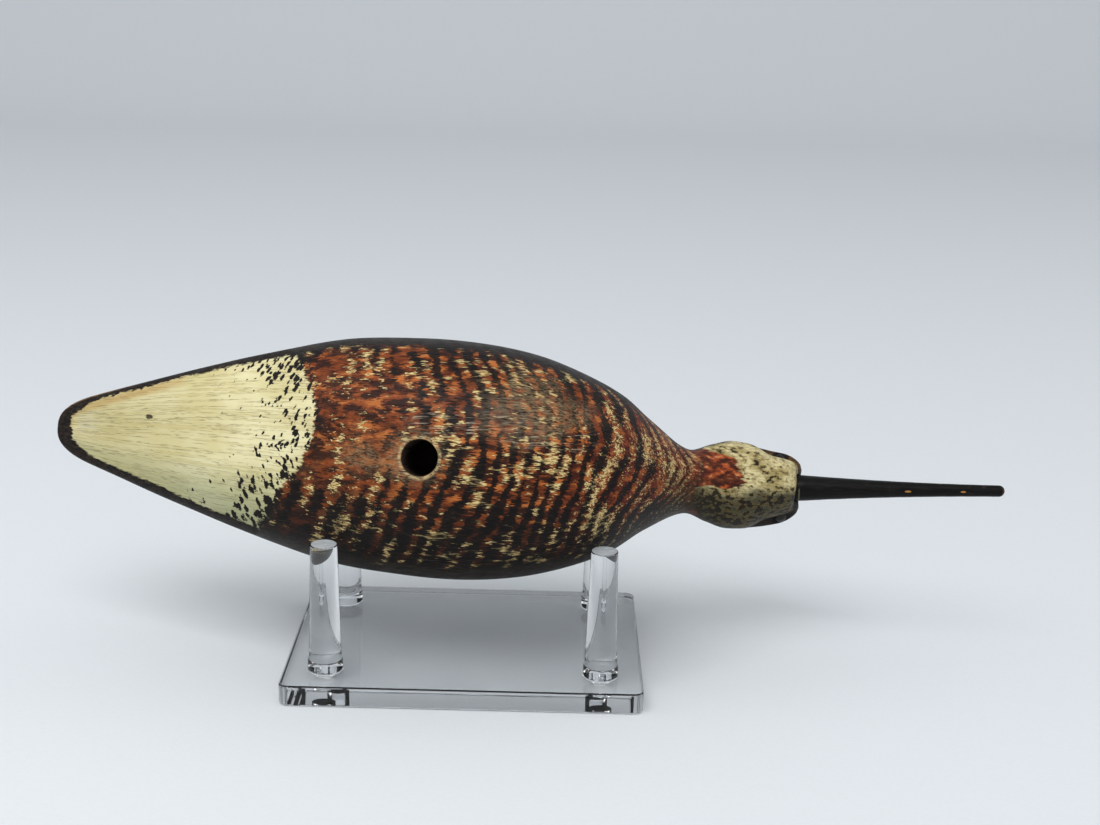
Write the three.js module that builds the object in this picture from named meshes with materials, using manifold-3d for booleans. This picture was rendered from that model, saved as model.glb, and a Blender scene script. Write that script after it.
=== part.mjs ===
// Carved shorebird decoy, lying on its left side across a clear four-peg stand.
//
// Millimetres, +Z up. +X runs towards the bill, and the belly faces -Y.
// The origin is the centre of the stand's underside.
//
// The bird is first made in its own frame, the way a carver lays out the blank:
// x from the tail tip forwards, y to the bird's left, z towards its back.
// It is then turned onto its side and lowered until all four pegs carry it.

import * as THREE from 'three';
import { mergeVertices } from 'three/addons/utils/BufferGeometryUtils.js';
import Module from 'manifold-3d';

const wasm = await Module();
wasm.setup();

// Sizes of the carved bird

const carvedLength = 237.4;      // tail tip to the front of the face
const bodyWidth = 73.8;          // across the wings, at the widest
const bodyDepth = 64.5;          // back to belly, at the deepest
const faceDiameter = 13.4;       // the small flat that the bill comes out of
const tailTipLength = 13;        // where the tail's plan rounds off
const headTurn = 3.9;            // degrees, to the bird's right
const headTilt = 7;              // degrees, crown to the bird's left
const neckSway = 0.85;           // how far the neck leans to the bird's left
const bellyTurnedUp = 18;        // degrees above level that the belly faces
const bladeRounding = 3.2;       // how square the plan of the tail tip is

const stickHoleDiameter = 11;
const stickHoleDepth = 32;
const stickHoleStation = 0.5043; // share of the carved length, from the tail

const eyeDiameter = 5.2;
const eyeInset = 0.8;            // how far the eye lies inside the brow
const leftEyeSetback = 6.2;      // its middle, behind the front of the face
const rightEyeSetback = 7.7;
const jawInset = 2.4;            // how far the jaw lies inside the brow, from below
const browLedge = 2.4;           // the height over which it is cut in
const creaseDepth = 0.6;         // the crease under the brow
const creaseWidth = 1.4;
const wingEdgeHeight = 0.8;      // the step at the edge of the folded wings
const balanceStation = 0.556;    // share of the carved length above the stand's middle

const billLength = 64.3;         // the part that shows
const billBaseDiameter = 8.4;
const billMiddleDiameter = 5.15;
const billTipDiameter = 3.8;
const billDroop = 1.5;           // degrees below the line of the back
const billTenonDiameter = 6;
const billTenonLength = 10;

// Sizes of the stand

const plateLength = 109;
const plateWidth = 79;
const plateThickness = 6.35;
const plateCornerRadius = 3;
const plateEdgeBevel = 0.5;
const pegInset = 12.75;          // from the plate's edge to the middle of a peg
const pegHeight = 40.5;          // above the plate
const pegFootDiameter = 10.2;
const pegTopDiameter = 8.1;
const pegTopBevel = 0.25;
const collarDiameter = 10.8;
const collarHeight = 3.9;
const collarBevel = 0.3;
const stubDiameter = 7;
const stubLength = 4;

const fitGap = 0.3;              // between pieces that touch or seat in each other
const pegSpacingLong = plateLength - 2 * pegInset;
const pegSpacingWide = plateWidth - 2 * pegInset;

const stationSpacing = 3.5;      // between the sections that the skin is laid over, about
const sectionCrowding = 0.72;    // how much closer those sections stand at both ends
const facetsAround = 40;
const facetsOnHole = 32;
const facetsOnPeg = 20;
const facetsOnBill = 16;
const facetsOnEye = [14, 9];     // around it, and from pole to pole

// The carver's patterns. Each row is one station along the bird: the share of the
// carved length from the tail, then the half width, the back's height, the belly's
// height and the height of the widest line. Widths are shares of half the body's
// width, heights are shares of half its depth.

const patterns = [
  [0.000, 0.188, 0.40, 0.270, 0.34],
  [0.065, 0.335, 0.47, 0.120, 0.30],
  [0.165, 0.545, 0.59, -0.150, 0.24],
  [0.260, 0.733, 0.72, -0.440, 0.16],
  [0.385, 0.941, 0.85, -0.742, 0.07],
  [0.480, 0.995, 0.95, -0.930, 0.02],
  [0.560, 0.993, 0.99, -1.010, 0.00],
  [0.635, 0.928, 0.99, -1.010, 0.00],
  [0.695, 0.812, 0.96, -0.930, 0.02],
  [0.750, 0.650, 0.91, -0.680, 0.08],
  [0.790, 0.463, 0.91, -0.370, 0.24],
  [0.840, 0.281, 0.98, 0.100, 0.50],
  [0.872, 0.338, 1.10, 0.270, 0.66],
  [0.900, 0.384, 1.18, 0.330, 0.74],
  [0.945, 0.353, 1.17, 0.380, 0.77],
  [1.000, 0.285, 1.06, 0.470, 0.76],
];

const HALF_WIDTH = 1;
const BACK = 2;
const BELLY = 3;
const WIDEST = 4;

const degrees = Math.PI / 180;
const fullTurn = 2 * Math.PI;
const mix = (a, b, share) => a + (b - a) * share;
const smooth = (t) => {
  const c = Math.min(Math.max(t, 0), 1);
  return c * c * (3 - 2 * c);
};
const bump = (t) => Math.exp(-t * t);

// A smooth curve through one column of the patterns.
function patternAt(share, column) {
  const last = patterns.length - 1;
  let i = 0;
  while (i < last - 1 && share > patterns[i + 1][0]) i += 1;
  const slope = (k) => {
    const a = patterns[Math.max(k - 1, 0)];
    const b = patterns[Math.min(k + 1, last)];
    return (b[column] - a[column]) / (b[0] - a[0]);
  };
  const [from, to] = [patterns[i], patterns[i + 1]];
  const run = to[0] - from[0];
  const t = (share - from[0]) / run;
  const bend = [2 * t ** 3 - 3 * t ** 2 + 1, t ** 3 - 2 * t ** 2 + t, t ** 3 - t ** 2];
  return bend[0] * from[column] + (1 - bend[0]) * to[column]
    + run * (bend[1] * slope(i) + bend[2] * slope(i + 1));
}

// How far the outline has opened at a rounded end: 0 at the end, 1 past the rounding.
function rounded(distance, length, power) {
  const left = Math.max(1 - distance / length, 0);
  return (1 - left ** power) ** (1 / power);
}

// The neck leans a little to the left, and the head is turned to the right on it, so
// the line through the neck, the head and the bill leaves the bird's middle. The head
// is tilted too, about a line at one height.
const neckStation = 0.815;
const neckRise = 0.07;
const turnStation = 0.93;
const tiltStation = 0.9;
const tiltRun = 0.06;
const tiltHeight = 22;
const faceRounding = 7;
function sideways(x, z) {
  const share = x / carvedLength;
  const leaning = neckSway * smooth((share - neckStation) / neckRise + 0.5);
  const aside = Math.tan(headTurn * degrees) * Math.max(x - turnStation * carvedLength, 0);
  const tilt = Math.tan(headTilt * degrees) * smooth((share - tiltStation) / tiltRun);
  return leaning - aside + tilt * (z - tiltHeight);
}

// One cross-section of the carving, at x: its half width, its three heights and how
// full its back and its belly are, where 2 is an ellipse and more is squarer. The tail's
// underside is nearly flat, so it is fuller, and both ends of the carving are rounded.
const bodyFullness = 2.12;
const tailBackFullness = 2;
const tailUndersideFullness = 3.4;
const tailTipThinning = 0.55;    // share of the tail's depth that is left at its tip
function sectionAt(x) {
  const share = x / carvedLength;
  const tail = rounded(x, tailTipLength, bladeRounding);
  const face = rounded(carvedLength - x, faceRounding, 2);
  const faceRadius = faceDiameter / 2;
  const half = patternAt(share, HALF_WIDTH) * bodyWidth / 2;
  const middle = patternAt(share, WIDEST) * bodyDepth / 2;
  const up = patternAt(share, BACK) * bodyDepth / 2 - middle;
  const down = middle - patternAt(share, BELLY) * bodyDepth / 2;
  const thinning = mix(tailTipThinning, 1, tail);
  return {
    half: mix(faceRadius, half, face) * tail,
    middle,
    up: mix(faceRadius, up, face) * thinning,
    down: mix(faceRadius, down, face) * thinning,
    backFullness: mix(tailBackFullness, bodyFullness, smooth(share / 0.4)),
    bellyFullness: mix(tailUndersideFullness, bodyFullness, smooth((share - 0.08) / 0.34)),
  };
}

// The folded wings stand a little proud of the back, down to an edge that sweeps from
// the shoulder to the tail. turn is the angle around the section, 90 degrees at the back.
// Its stations and runs are shares of the carved length, its angles are degrees.
const wingFront = 0.76;
const wingFrontRun = 0.1;
const wingTips = 0.06;
const wingTipsRun = 0.06;
const wingSweepRun = 0.3;
const wingEdgeAtTips = 20;
const wingEdgeAtShoulder = 62;
const wingEdgeSlope = 9;
function wingRelief(share, turn) {
  const fromBack = Math.abs(turn / degrees - 90);
  const sweep = smooth((share - wingTips) / wingSweepRun);
  const edge = mix(wingEdgeAtTips, wingEdgeAtShoulder, sweep);
  const inside = smooth((edge - fromBack) / wingEdgeSlope + 0.5);
  const front = smooth((wingFront - share) / wingFrontRun);
  const rear = smooth((share - wingTips) / wingTipsRun);
  return wingEdgeHeight * inside * front * rear;
}

// Seen from below, the jaw is narrower than the brow. It is cut in under a ledge that
// runs from behind each eye to the bill, with a crease along it, so half of each eye
// shows under the brow. The stations, runs and reaches are shares of the carved length.
const eyeHeightInHead = 0.16;
const jawStation = 0.925;
const jawRun = 0.035;
const chinRun = 0.028;
const jawAtBill = 0.5;           // share of the jaw's inset that is left at the bill
const creaseStation = 0.965;
const creaseReach = 0.03;
function eyeLevel(x) {
  const s = sectionAt(Math.min(x, carvedLength));
  return s.middle + eyeHeightInHead * s.up;
}
function jawCut(x, z) {
  const share = x / carvedLength;
  const below = eyeLevel(x) - z;
  const start = smooth((share - jawStation) / jawRun);
  const end = mix(jawAtBill, 1, smooth((1 - share) / chinRun));
  const crease = creaseDepth * bump((share - creaseStation) / creaseReach)
    * bump((below - browLedge / 2) / creaseWidth);
  return jawInset * start * end * smooth(below / browLedge) + crease;
}

// The point of the surface at x, at an angle around the section: 0 degrees is the
// bird's left side, 90 degrees its back.
function surfacePoint(x, turn) {
  const s = sectionAt(x);
  const above = Math.sin(turn) >= 0;
  const tall = above ? s.up : s.down;
  const power = 2 / (above ? s.backFullness : s.bellyFullness);
  const y = s.half * Math.sign(Math.cos(turn)) * Math.abs(Math.cos(turn)) ** power;
  const z = tall * Math.sign(Math.sin(turn)) * Math.abs(Math.sin(turn)) ** power;
  const reach = Math.hypot(y, z);
  const swell = 1 + wingRelief(x / carvedLength, turn) / Math.max(reach, 1);
  const cut = jawCut(x, s.middle + z) * Math.abs(Math.cos(turn));
  const side = Math.sign(y) * Math.max(Math.abs(y) * swell - cut, 0);
  const height = s.middle + z * swell;
  return new THREE.Vector3(x, side + sideways(x, height), height);
}

// Solids

function solidOf(geometry) {
  const bare = geometry.clone();
  for (const name of ['normal', 'uv']) bare.deleteAttribute(name);
  const welded = mergeVertices(bare, 1e-4);
  return new wasm.Manifold(new wasm.Mesh({
    numProp: 3,
    vertProperties: new Float32Array(welded.attributes.position.array),
    triVerts: new Uint32Array(welded.index.array),
  }));
}

function geometryOf(solid) {
  const mesh = solid.getMesh();
  const geometry = new THREE.BufferGeometry();
  geometry.setAttribute('position', new THREE.BufferAttribute(mesh.vertProperties, 3));
  geometry.setIndex(new THREE.BufferAttribute(mesh.triVerts, 1));
  geometry.computeVertexNormals();
  return geometry;
}

// A closed skin over rings of points, from a pole behind the first ring to a pole in
// front of the last one. Each ring runs from the left side over the back.
function skin(rings, firstPole, lastPole) {
  const around = rings[0].length;
  const points = [firstPole, ...rings.flat(), lastPole];
  const at = (ring, k) => 1 + ring * around + (k % around);
  const faces = [];
  for (let k = 0; k < around; k += 1) {
    faces.push(0, at(0, k + 1), at(0, k));
    faces.push(points.length - 1, at(rings.length - 1, k), at(rings.length - 1, k + 1));
    for (let ring = 0; ring < rings.length - 1; ring += 1) {
      faces.push(at(ring, k), at(ring + 1, k + 1), at(ring + 1, k));
      faces.push(at(ring, k), at(ring, k + 1), at(ring + 1, k + 1));
    }
  }
  const geometry = new THREE.BufferGeometry();
  geometry.setAttribute('position', new THREE.Float32BufferAttribute(
    points.flatMap((p) => [p.x, p.y, p.z]), 3));
  geometry.setIndex(faces);
  return geometry;
}

// A turned solid about its own Z, from a profile of [radius, height] pairs.
function turned(profile, facets) {
  return new THREE.LatheGeometry(profile.map(([r, z]) => new THREE.Vector2(r, z)), facets)
    .rotateX(90 * degrees);
}

// A round solid from one point towards another.
function roundBar(radius, from, to, facets) {
  const run = to.clone().sub(from);
  const length = run.length();
  const bar = turned([[0, 0], [radius, 0], [radius, length], [0, length]], facets);
  bar.applyQuaternion(new THREE.Quaternion().setFromUnitVectors(
    new THREE.Vector3(0, 0, 1), run.normalize()));
  return bar.translate(from.x, from.y, from.z);
}

// The bill's line: out of the middle of the face, in line with the turned head.
const face = sectionAt(carvedLength);
const billRoot = new THREE.Vector3(carvedLength, sideways(carvedLength, face.middle),
  face.middle);
const billLine = new THREE.Vector3(1, -Math.tan(headTurn * degrees),
  -Math.tan(billDroop * degrees)).normalize();
const alongBill = (distance) => billRoot.clone().addScaledVector(billLine, distance);

function eyeCentre(side) {
  const x = carvedLength - (side > 0 ? leftEyeSetback : rightEyeSetback);
  const s = sectionAt(x);
  const cheek = s.half * (1 - eyeHeightInHead ** s.backFullness) ** (1 / s.backFullness);
  const level = eyeLevel(x);
  const out = cheek - eyeInset - eyeDiameter / 2;
  return new THREE.Vector3(x, side * out + sideways(x, level), level);
}

function makeDecoy() {
  const stationsAlong = Math.round(carvedLength / stationSpacing);
  const rings = [];
  for (let i = 0; i < stationsAlong; i += 1) {
    const t = (i + 0.5) / stationsAlong;
    const eased = (1 - Math.cos(t * Math.PI)) / 2;
    const last = i === stationsAlong - 1;
    const x = last ? carvedLength : carvedLength * mix(t, eased, sectionCrowding);
    rings.push(Array.from({ length: facetsAround },
      (_, k) => surfacePoint(x, (k / facetsAround) * fullTurn)));
  }
  const tip = new THREE.Vector3(0, 0, sectionAt(0).middle);
  const holeX = stickHoleStation * carvedLength;
  const holeS = sectionAt(holeX);
  const mouth = holeS.middle - holeS.down;
  const stickHole = roundBar(stickHoleDiameter / 2,
    new THREE.Vector3(holeX, 0, mouth - stickHoleDiameter),
    new THREE.Vector3(holeX, 0, mouth + stickHoleDepth), facetsOnHole);
  const billSocket = roundBar(billTenonDiameter / 2 + fitGap,
    alongBill(-billTenonLength - fitGap), alongBill(billTenonLength), facetsOnPeg);
  let decoy = solidOf(skin(rings, tip, billRoot))
    .subtract(solidOf(stickHole))
    .subtract(solidOf(billSocket));
  for (const side of [1, -1]) {
    const at = eyeCentre(side);
    const socket = new THREE.SphereGeometry(eyeDiameter / 2 + fitGap, ...facetsOnEye)
      .translate(at.x, at.y, at.z);
    decoy = decoy.subtract(solidOf(socket));
  }
  return geometryOf(decoy);
}

// The bill tapers in two easy curves and ends in a blunt round tip.
function makeBill() {
  const tip = billTipDiameter / 2;
  const profile = [[0, -billTenonLength], [billTenonDiameter / 2, -billTenonLength],
    [billTenonDiameter / 2, fitGap]];
  const ringsAlong = 10;
  for (let i = 0; i <= ringsAlong; i += 1) {
    const t = i / ringsAlong;
    const ends = mix(billBaseDiameter, billTipDiameter, t);
    const sag = 4 * t * (1 - t) * (billMiddleDiameter
      - (billBaseDiameter + billTipDiameter) / 2);
    profile.push([(ends + sag) / 2, mix(fitGap, billLength - tip, t)]);
  }
  const ringsOnTip = 4;
  for (let i = 1; i < ringsOnTip; i += 1) {
    const turn = (i / ringsOnTip) * 90 * degrees;
    profile.push([tip * Math.cos(turn), billLength - tip + tip * Math.sin(turn)]);
  }
  profile.push([0, billLength]);
  const bill = turned(profile, facetsOnBill);
  bill.applyQuaternion(new THREE.Quaternion().setFromUnitVectors(
    new THREE.Vector3(0, 0, 1), billLine));
  return bill.translate(billRoot.x, billRoot.y, billRoot.z);
}

function makeEye(side) {
  const at = eyeCentre(side);
  return new THREE.SphereGeometry(eyeDiameter / 2, ...facetsOnEye)
    .translate(at.x, at.y, at.z);
}

// The stand

const pegPlaces = [
  ['peg_front_left', -1, -1],
  ['peg_front_right', 1, -1],
  ['peg_back_left', -1, 1],
  ['peg_back_right', 1, 1],
].map(([name, alongSide, acrossSide]) => ({
  name,
  x: alongSide * pegSpacingLong / 2,
  y: acrossSide * pegSpacingWide / 2,
}));

function makePlate() {
  const [x, y] = [plateLength / 2 - plateEdgeBevel, plateWidth / 2 - plateEdgeBevel];
  const r = plateCornerRadius - plateEdgeBevel;
  const outline = new THREE.Shape()
    .moveTo(-x + r, -y)
    .lineTo(x - r, -y)
    .absarc(x - r, -y + r, r, -90 * degrees, 0)
    .absarc(x - r, y - r, r, 0, 90 * degrees)
    .absarc(-x + r, y - r, r, 90 * degrees, 180 * degrees)
    .absarc(-x + r, -y + r, r, 180 * degrees, 270 * degrees);
  const slab = new THREE.ExtrudeGeometry(outline, {
    depth: plateThickness - 2 * plateEdgeBevel,
    bevelThickness: plateEdgeBevel,
    bevelSize: plateEdgeBevel,
    bevelSegments: 1,
    curveSegments: 4,
  }).translate(0, 0, plateEdgeBevel);
  let plate = solidOf(slab);
  for (const place of pegPlaces) {
    const socket = roundBar(stubDiameter / 2 + fitGap,
      new THREE.Vector3(place.x, place.y, plateThickness - stubLength - fitGap),
      new THREE.Vector3(place.x, place.y, plateThickness + stubLength), facetsOnPeg);
    plate = plate.subtract(solidOf(socket));
  }
  return geometryOf(plate);
}

// A peg's radius at a height above the plate, over its collar.
function pegRadius(height) {
  return mix(pegFootDiameter, pegTopDiameter, height / pegHeight) / 2;
}

function makePeg() {
  const collar = collarDiameter / 2;
  return turned([
    [0, -stubLength],
    [stubDiameter / 2, -stubLength],
    [stubDiameter / 2, fitGap],
    [collar - collarBevel, fitGap],
    [collar, fitGap + collarBevel],
    [collar - collarBevel / 2, collarHeight - collarBevel],
    [pegRadius(collarHeight), collarHeight],
    [pegRadius(pegHeight - pegTopBevel), pegHeight - pegTopBevel],
    [pegRadius(pegHeight) - pegTopBevel, pegHeight],
    [0, pegHeight],
  ], facetsOnPeg);
}

// Resting place. The bird is held by two heights and two sideways places, above the
// left and the right pair of pegs, and is lowered until every peg is a gap away: that
// is, until a round of it leaves less than a thousandth of the gap to take up.

function placedBird(rest) {
  const bird = new THREE.Group();
  const drop = Math.atan2(rest.left.z - rest.right.z, pegSpacingLong);
  const swing = Math.atan2(rest.right.y - rest.left.y, pegSpacingLong);
  bird.rotation.set(0, drop, swing, 'ZYX');
  bird.position.set(0, (rest.left.y + rest.right.y) / 2, (rest.left.z + rest.right.z) / 2);
  const onItsSide = new THREE.Group();
  onItsSide.rotation.x = -(90 + bellyTurnedUp) * degrees;
  onItsSide.position.x = -balanceStation * carvedLength;
  bird.add(onItsSide);
  bird.updateMatrixWorld(true);
  return { bird, onItsSide };
}

// How far a point in the bird's frame is outside the carving, along the line from the
// middle of its section.
function outside(point) {
  const x = Math.min(Math.max(point.x, 0), carvedLength);
  const s = sectionAt(x);
  const [y, z] = [point.y - sideways(x, point.z), point.z - s.middle];
  const tall = z >= 0 ? s.up : s.down;
  const power = z >= 0 ? s.backFullness : s.bellyFullness;
  const reach = ((Math.abs(y) / s.half) ** power + (Math.abs(z) / tall) ** power) ** (1 / power);
  const turn = Math.atan2(z / tall, y / s.half);
  return Math.hypot(y, z) * (1 - 1 / reach) - wingRelief(x / carvedLength, turn);
}

// The gap from a peg to the carving, looked for around the peg near its top.
function gapToPeg(onItsSide, place) {
  let least = Infinity;
  for (const share of [1, 0.9, 0.75]) {
    const radius = pegRadius(pegHeight * share);
    for (let k = 0; k < facetsOnPeg; k += 1) {
      const turn = (k / facetsOnPeg) * fullTurn;
      const point = new THREE.Vector3(place.x + radius * Math.cos(turn),
        place.y + radius * Math.sin(turn), plateThickness + pegHeight * share);
      least = Math.min(least, outside(onItsSide.worldToLocal(point)));
    }
  }
  return least;
}

// The gap from the lower flank to the plate, over the plate's left or right half.
function gapToPlate(onItsSide, sign) {
  let least = Infinity;
  for (const share of [0.08, 0.16, 0.24, 0.32]) {
    const x = (balanceStation + sign * share) * carvedLength;
    for (let turn = -30; turn <= 30; turn += 10) {
      const point = onItsSide.localToWorld(surfacePoint(x, turn * degrees));
      least = Math.min(least, point.z - plateThickness);
    }
  }
  return least;
}

const stepSideways = 0.4;        // shares of the gap that one round takes up
const stepDown = 0.8;
function settle() {
  const start = plateThickness + pegHeight + bodyWidth / 2;
  const rest = { left: { y: 0, z: start }, right: { y: 0, z: start } };
  let moved = Infinity;
  while (moved > fitGap / 1000) {
    const { onItsSide } = placedBird(rest);
    moved = 0;
    for (const [end, sign] of [[rest.left, -1], [rest.right, 1]]) {
      const [front, back] = [-1, 1].map((across) => gapToPeg(onItsSide,
        { x: sign * pegSpacingLong / 2, y: across * pegSpacingWide / 2 }));
      const room = Math.min((front + back) / 2, gapToPlate(onItsSide, sign)) - fitGap;
      end.y += (back - front) * stepSideways;
      end.z -= room * stepDown;
      moved = Math.max(moved, Math.abs(back - front), Math.abs(room));
    }
  }
  return rest;
}

// Assembly

function material(color, roughness, options = {}) {
  return new THREE.MeshStandardMaterial({ color, roughness, metalness: 0, ...options });
}
const paintedWood = material(0x7a3b22, 0.5);
const blackPaint = material(0x14120f, 0.4);
const darkGlass = material(0x0c0a09, 0.08);
const clearAcrylic = material(0xe6f2f8, 0.05, { transparent: true, opacity: 0.3 });

function piece(name, geometry, finish) {
  const mesh = new THREE.Mesh(geometry, finish.clone());
  mesh.name = name;
  return mesh;
}

const resting = settle();
const { bird, onItsSide } = placedBird(resting);
onItsSide.add(
  piece('decoy', makeDecoy(), paintedWood),
  piece('bill', makeBill(), blackPaint),
  piece('eye_left', makeEye(1), darkGlass),
  piece('eye_right', makeEye(-1), darkGlass),
);

const stand = new THREE.Group();
stand.add(piece('stand_plate', makePlate(), clearAcrylic));
for (const place of pegPlaces) {
  const peg = piece(place.name, makePeg(), clearAcrylic);
  peg.position.set(place.x, place.y, plateThickness);
  stand.add(peg);
}

const group = new THREE.Group();
group.add(bird, stand);

export default group;
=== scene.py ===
# %% [markdown]
# # A carved shorebird decoy on a clear peg stand
#
# The object is a plump wooden shorebird, carved in one piece and painted: cream under the tail, rust and
# black bars over the belly, a speckled cream head, a dark back. A long black bill and two glass eyes are
# set into the head, and a hole for the stick is bored into the belly. It lies on its left side across a
# clear plate with four clear pegs.
#
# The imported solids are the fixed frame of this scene. They are right in size and place, and plain. Each
# cell below makes one piece again with a fine surface, in the same place, and gives it its finish.

# %% The frame
import math

import bmesh
import bpy
import numpy as np
from mathutils import Matrix, Vector


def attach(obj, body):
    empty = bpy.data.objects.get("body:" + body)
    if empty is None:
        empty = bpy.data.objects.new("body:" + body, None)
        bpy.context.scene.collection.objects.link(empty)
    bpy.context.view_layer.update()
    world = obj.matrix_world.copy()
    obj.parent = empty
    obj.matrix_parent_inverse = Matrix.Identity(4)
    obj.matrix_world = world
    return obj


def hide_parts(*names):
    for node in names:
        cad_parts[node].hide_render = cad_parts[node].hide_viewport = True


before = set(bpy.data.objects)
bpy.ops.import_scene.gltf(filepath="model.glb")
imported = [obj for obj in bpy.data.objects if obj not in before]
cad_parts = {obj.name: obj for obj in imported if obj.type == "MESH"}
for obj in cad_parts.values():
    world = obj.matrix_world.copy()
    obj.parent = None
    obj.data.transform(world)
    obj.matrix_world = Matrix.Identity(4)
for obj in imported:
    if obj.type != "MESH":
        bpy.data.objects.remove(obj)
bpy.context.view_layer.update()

MM = 0.001
print("solids:", ", ".join(sorted(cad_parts)))

# %% [markdown]
# ## The camera
#
# The decoy was photographed from a little above the table, with a long lens, and the camera was held
# almost level. The place and the angles below come from the stand: the edges of its plate and the feet
# and tops of its pegs fix a camera. A camera object looks along its own -Z, so its three axes are the
# image's right, the image's up, and backwards, and they are set as the columns of its matrix.

# %% Camera
PHOTO_WIDTH = 1100
FOCAL_PIXELS = 1700
CAMERA_PLACE = Vector((24.27, -499.20, 229.85)) * MM
CAMERA_YAW = math.radians(0.026)
CAMERA_PITCH = math.radians(16.563)
CAMERA_ROLL = math.radians(1.424)


def in_scene(name, data):
    """Puts a camera, a lamp or a mesh into the scene."""
    made = bpy.data.objects.new(name, data)
    bpy.context.scene.collection.objects.link(made)
    return made


def make_camera():
    ahead = Vector((math.sin(CAMERA_YAW) * math.cos(CAMERA_PITCH),
                    math.cos(CAMERA_YAW) * math.cos(CAMERA_PITCH), -math.sin(CAMERA_PITCH)))
    level = Vector((math.cos(CAMERA_YAW), -math.sin(CAMERA_YAW), 0))
    above = level.cross(ahead)
    right = level * math.cos(CAMERA_ROLL) + above * math.sin(CAMERA_ROLL)
    up = above * math.cos(CAMERA_ROLL) - level * math.sin(CAMERA_ROLL)
    data = bpy.data.cameras.new("camera")
    data.lens = FOCAL_PIXELS / PHOTO_WIDTH * data.sensor_width
    data.clip_start, data.clip_end = 0.02, 20
    camera = in_scene("camera", data)
    camera.matrix_world = Matrix.Translation(CAMERA_PLACE) @ Matrix((right, up, -ahead)).transposed().to_4x4()
    bpy.context.scene.camera = camera
    return camera


print("lens, mm:", round(make_camera().data.lens, 1))

# %% [markdown]
# ## Numbers that vary over a surface
#
# A paint is built from masks: numbers between 0 and 1 that say where each layer lies. In a shader tree a
# mask is a socket, and every sum or product of masks is a Math node. The class below wraps a socket, so
# that `bars * (1 - worn)` can be written as it is thought, and adds those nodes behind the scenes.
# `Nodes` makes every node by one method, `node`, and `PaintShop` is the tree of one material. Its method
# `coats` lays colours over one another as a painter does, from the ground up.

# %% Masks and the paint shop
# A Mix node has sockets of the same name for numbers, vectors and colours. These are the ones for colours.
MIX_FACTOR, MIX_UNDER, MIX_OVER, MIX_RESULT = 0, 6, 7, 2


def srgb(red, green, blue):
    """A colour as a painter picks it on screen, 0 to 255, turned into the linear light a shader needs."""
    def linear(value):
        share = value / 255
        return share / 12.92 if share <= 0.04045 else ((share + 0.055) / 1.055) ** 2.4
    return (linear(red), linear(green), linear(blue), 1)


class Mask:
    """A number that varies over a surface."""

    def __init__(self, shop, socket):
        self.shop = shop
        self.socket = socket

    def math(self, operation, *numbers):
        return self.shop.mask("ShaderNodeMath", {"operation": operation}, dict(enumerate(numbers)))

    def __add__(self, other):
        return self.math("ADD", self, other)

    def __radd__(self, other):
        return self.math("ADD", other, self)

    def __sub__(self, other):
        return self.math("SUBTRACT", self, other)

    def __rsub__(self, other):
        return self.math("SUBTRACT", other, self)

    def __mul__(self, other):
        return self.math("MULTIPLY", self, other)

    def __rmul__(self, other):
        return self.math("MULTIPLY", other, self)

    def __truediv__(self, other):
        return self.math("DIVIDE", self, other)

    def __pow__(self, other):
        return self.math("POWER", self, other)

    def __abs__(self):
        return self.math("ABSOLUTE", self)

    def wave(self):
        """A cosine that runs once for every 1 of this number."""
        return self.math("COSINE", self * (2 * math.pi))

    def most(self, other):
        return self.math("MAXIMUM", self, other)

    def least(self, other):
        return self.math("MINIMUM", self, other)

    def rises(self, low, high):
        """0 below low, 1 above high, and an easy curve between them."""
        span = {"From Min": low, "From Max": high, "Value": self}
        return self.shop.mask("ShaderNodeMapRange", {"interpolation_type": "SMOOTHSTEP"}, span)

    def falls(self, low, high):
        """1 below low, 0 above high."""
        return 1 - self.rises(low, high)

    def near(self, middle, reach):
        """1 at middle, 0 from reach away."""
        return abs(self - middle).falls(0, reach)


class Nodes:
    """A tree of nodes. Every node in it is made by one method."""

    def __init__(self, tree):
        self.tree = tree

    def node(self, kind, settings=None, values=None):
        """Adds a node. Its settings are set first, then its sockets, each to a value or a link."""
        made = self.tree.nodes.new(kind)
        for name, setting in (settings or {}).items():
            setattr(made, name, setting)
        for name, value in (values or {}).items():
            self.plug(made.inputs[name], value)
        return made

    def plug(self, socket, value):
        if isinstance(value, Mask):
            value = value.socket
        if isinstance(value, bpy.types.NodeSocket):
            self.tree.links.new(value, socket)
        else:
            socket.default_value = value


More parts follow.
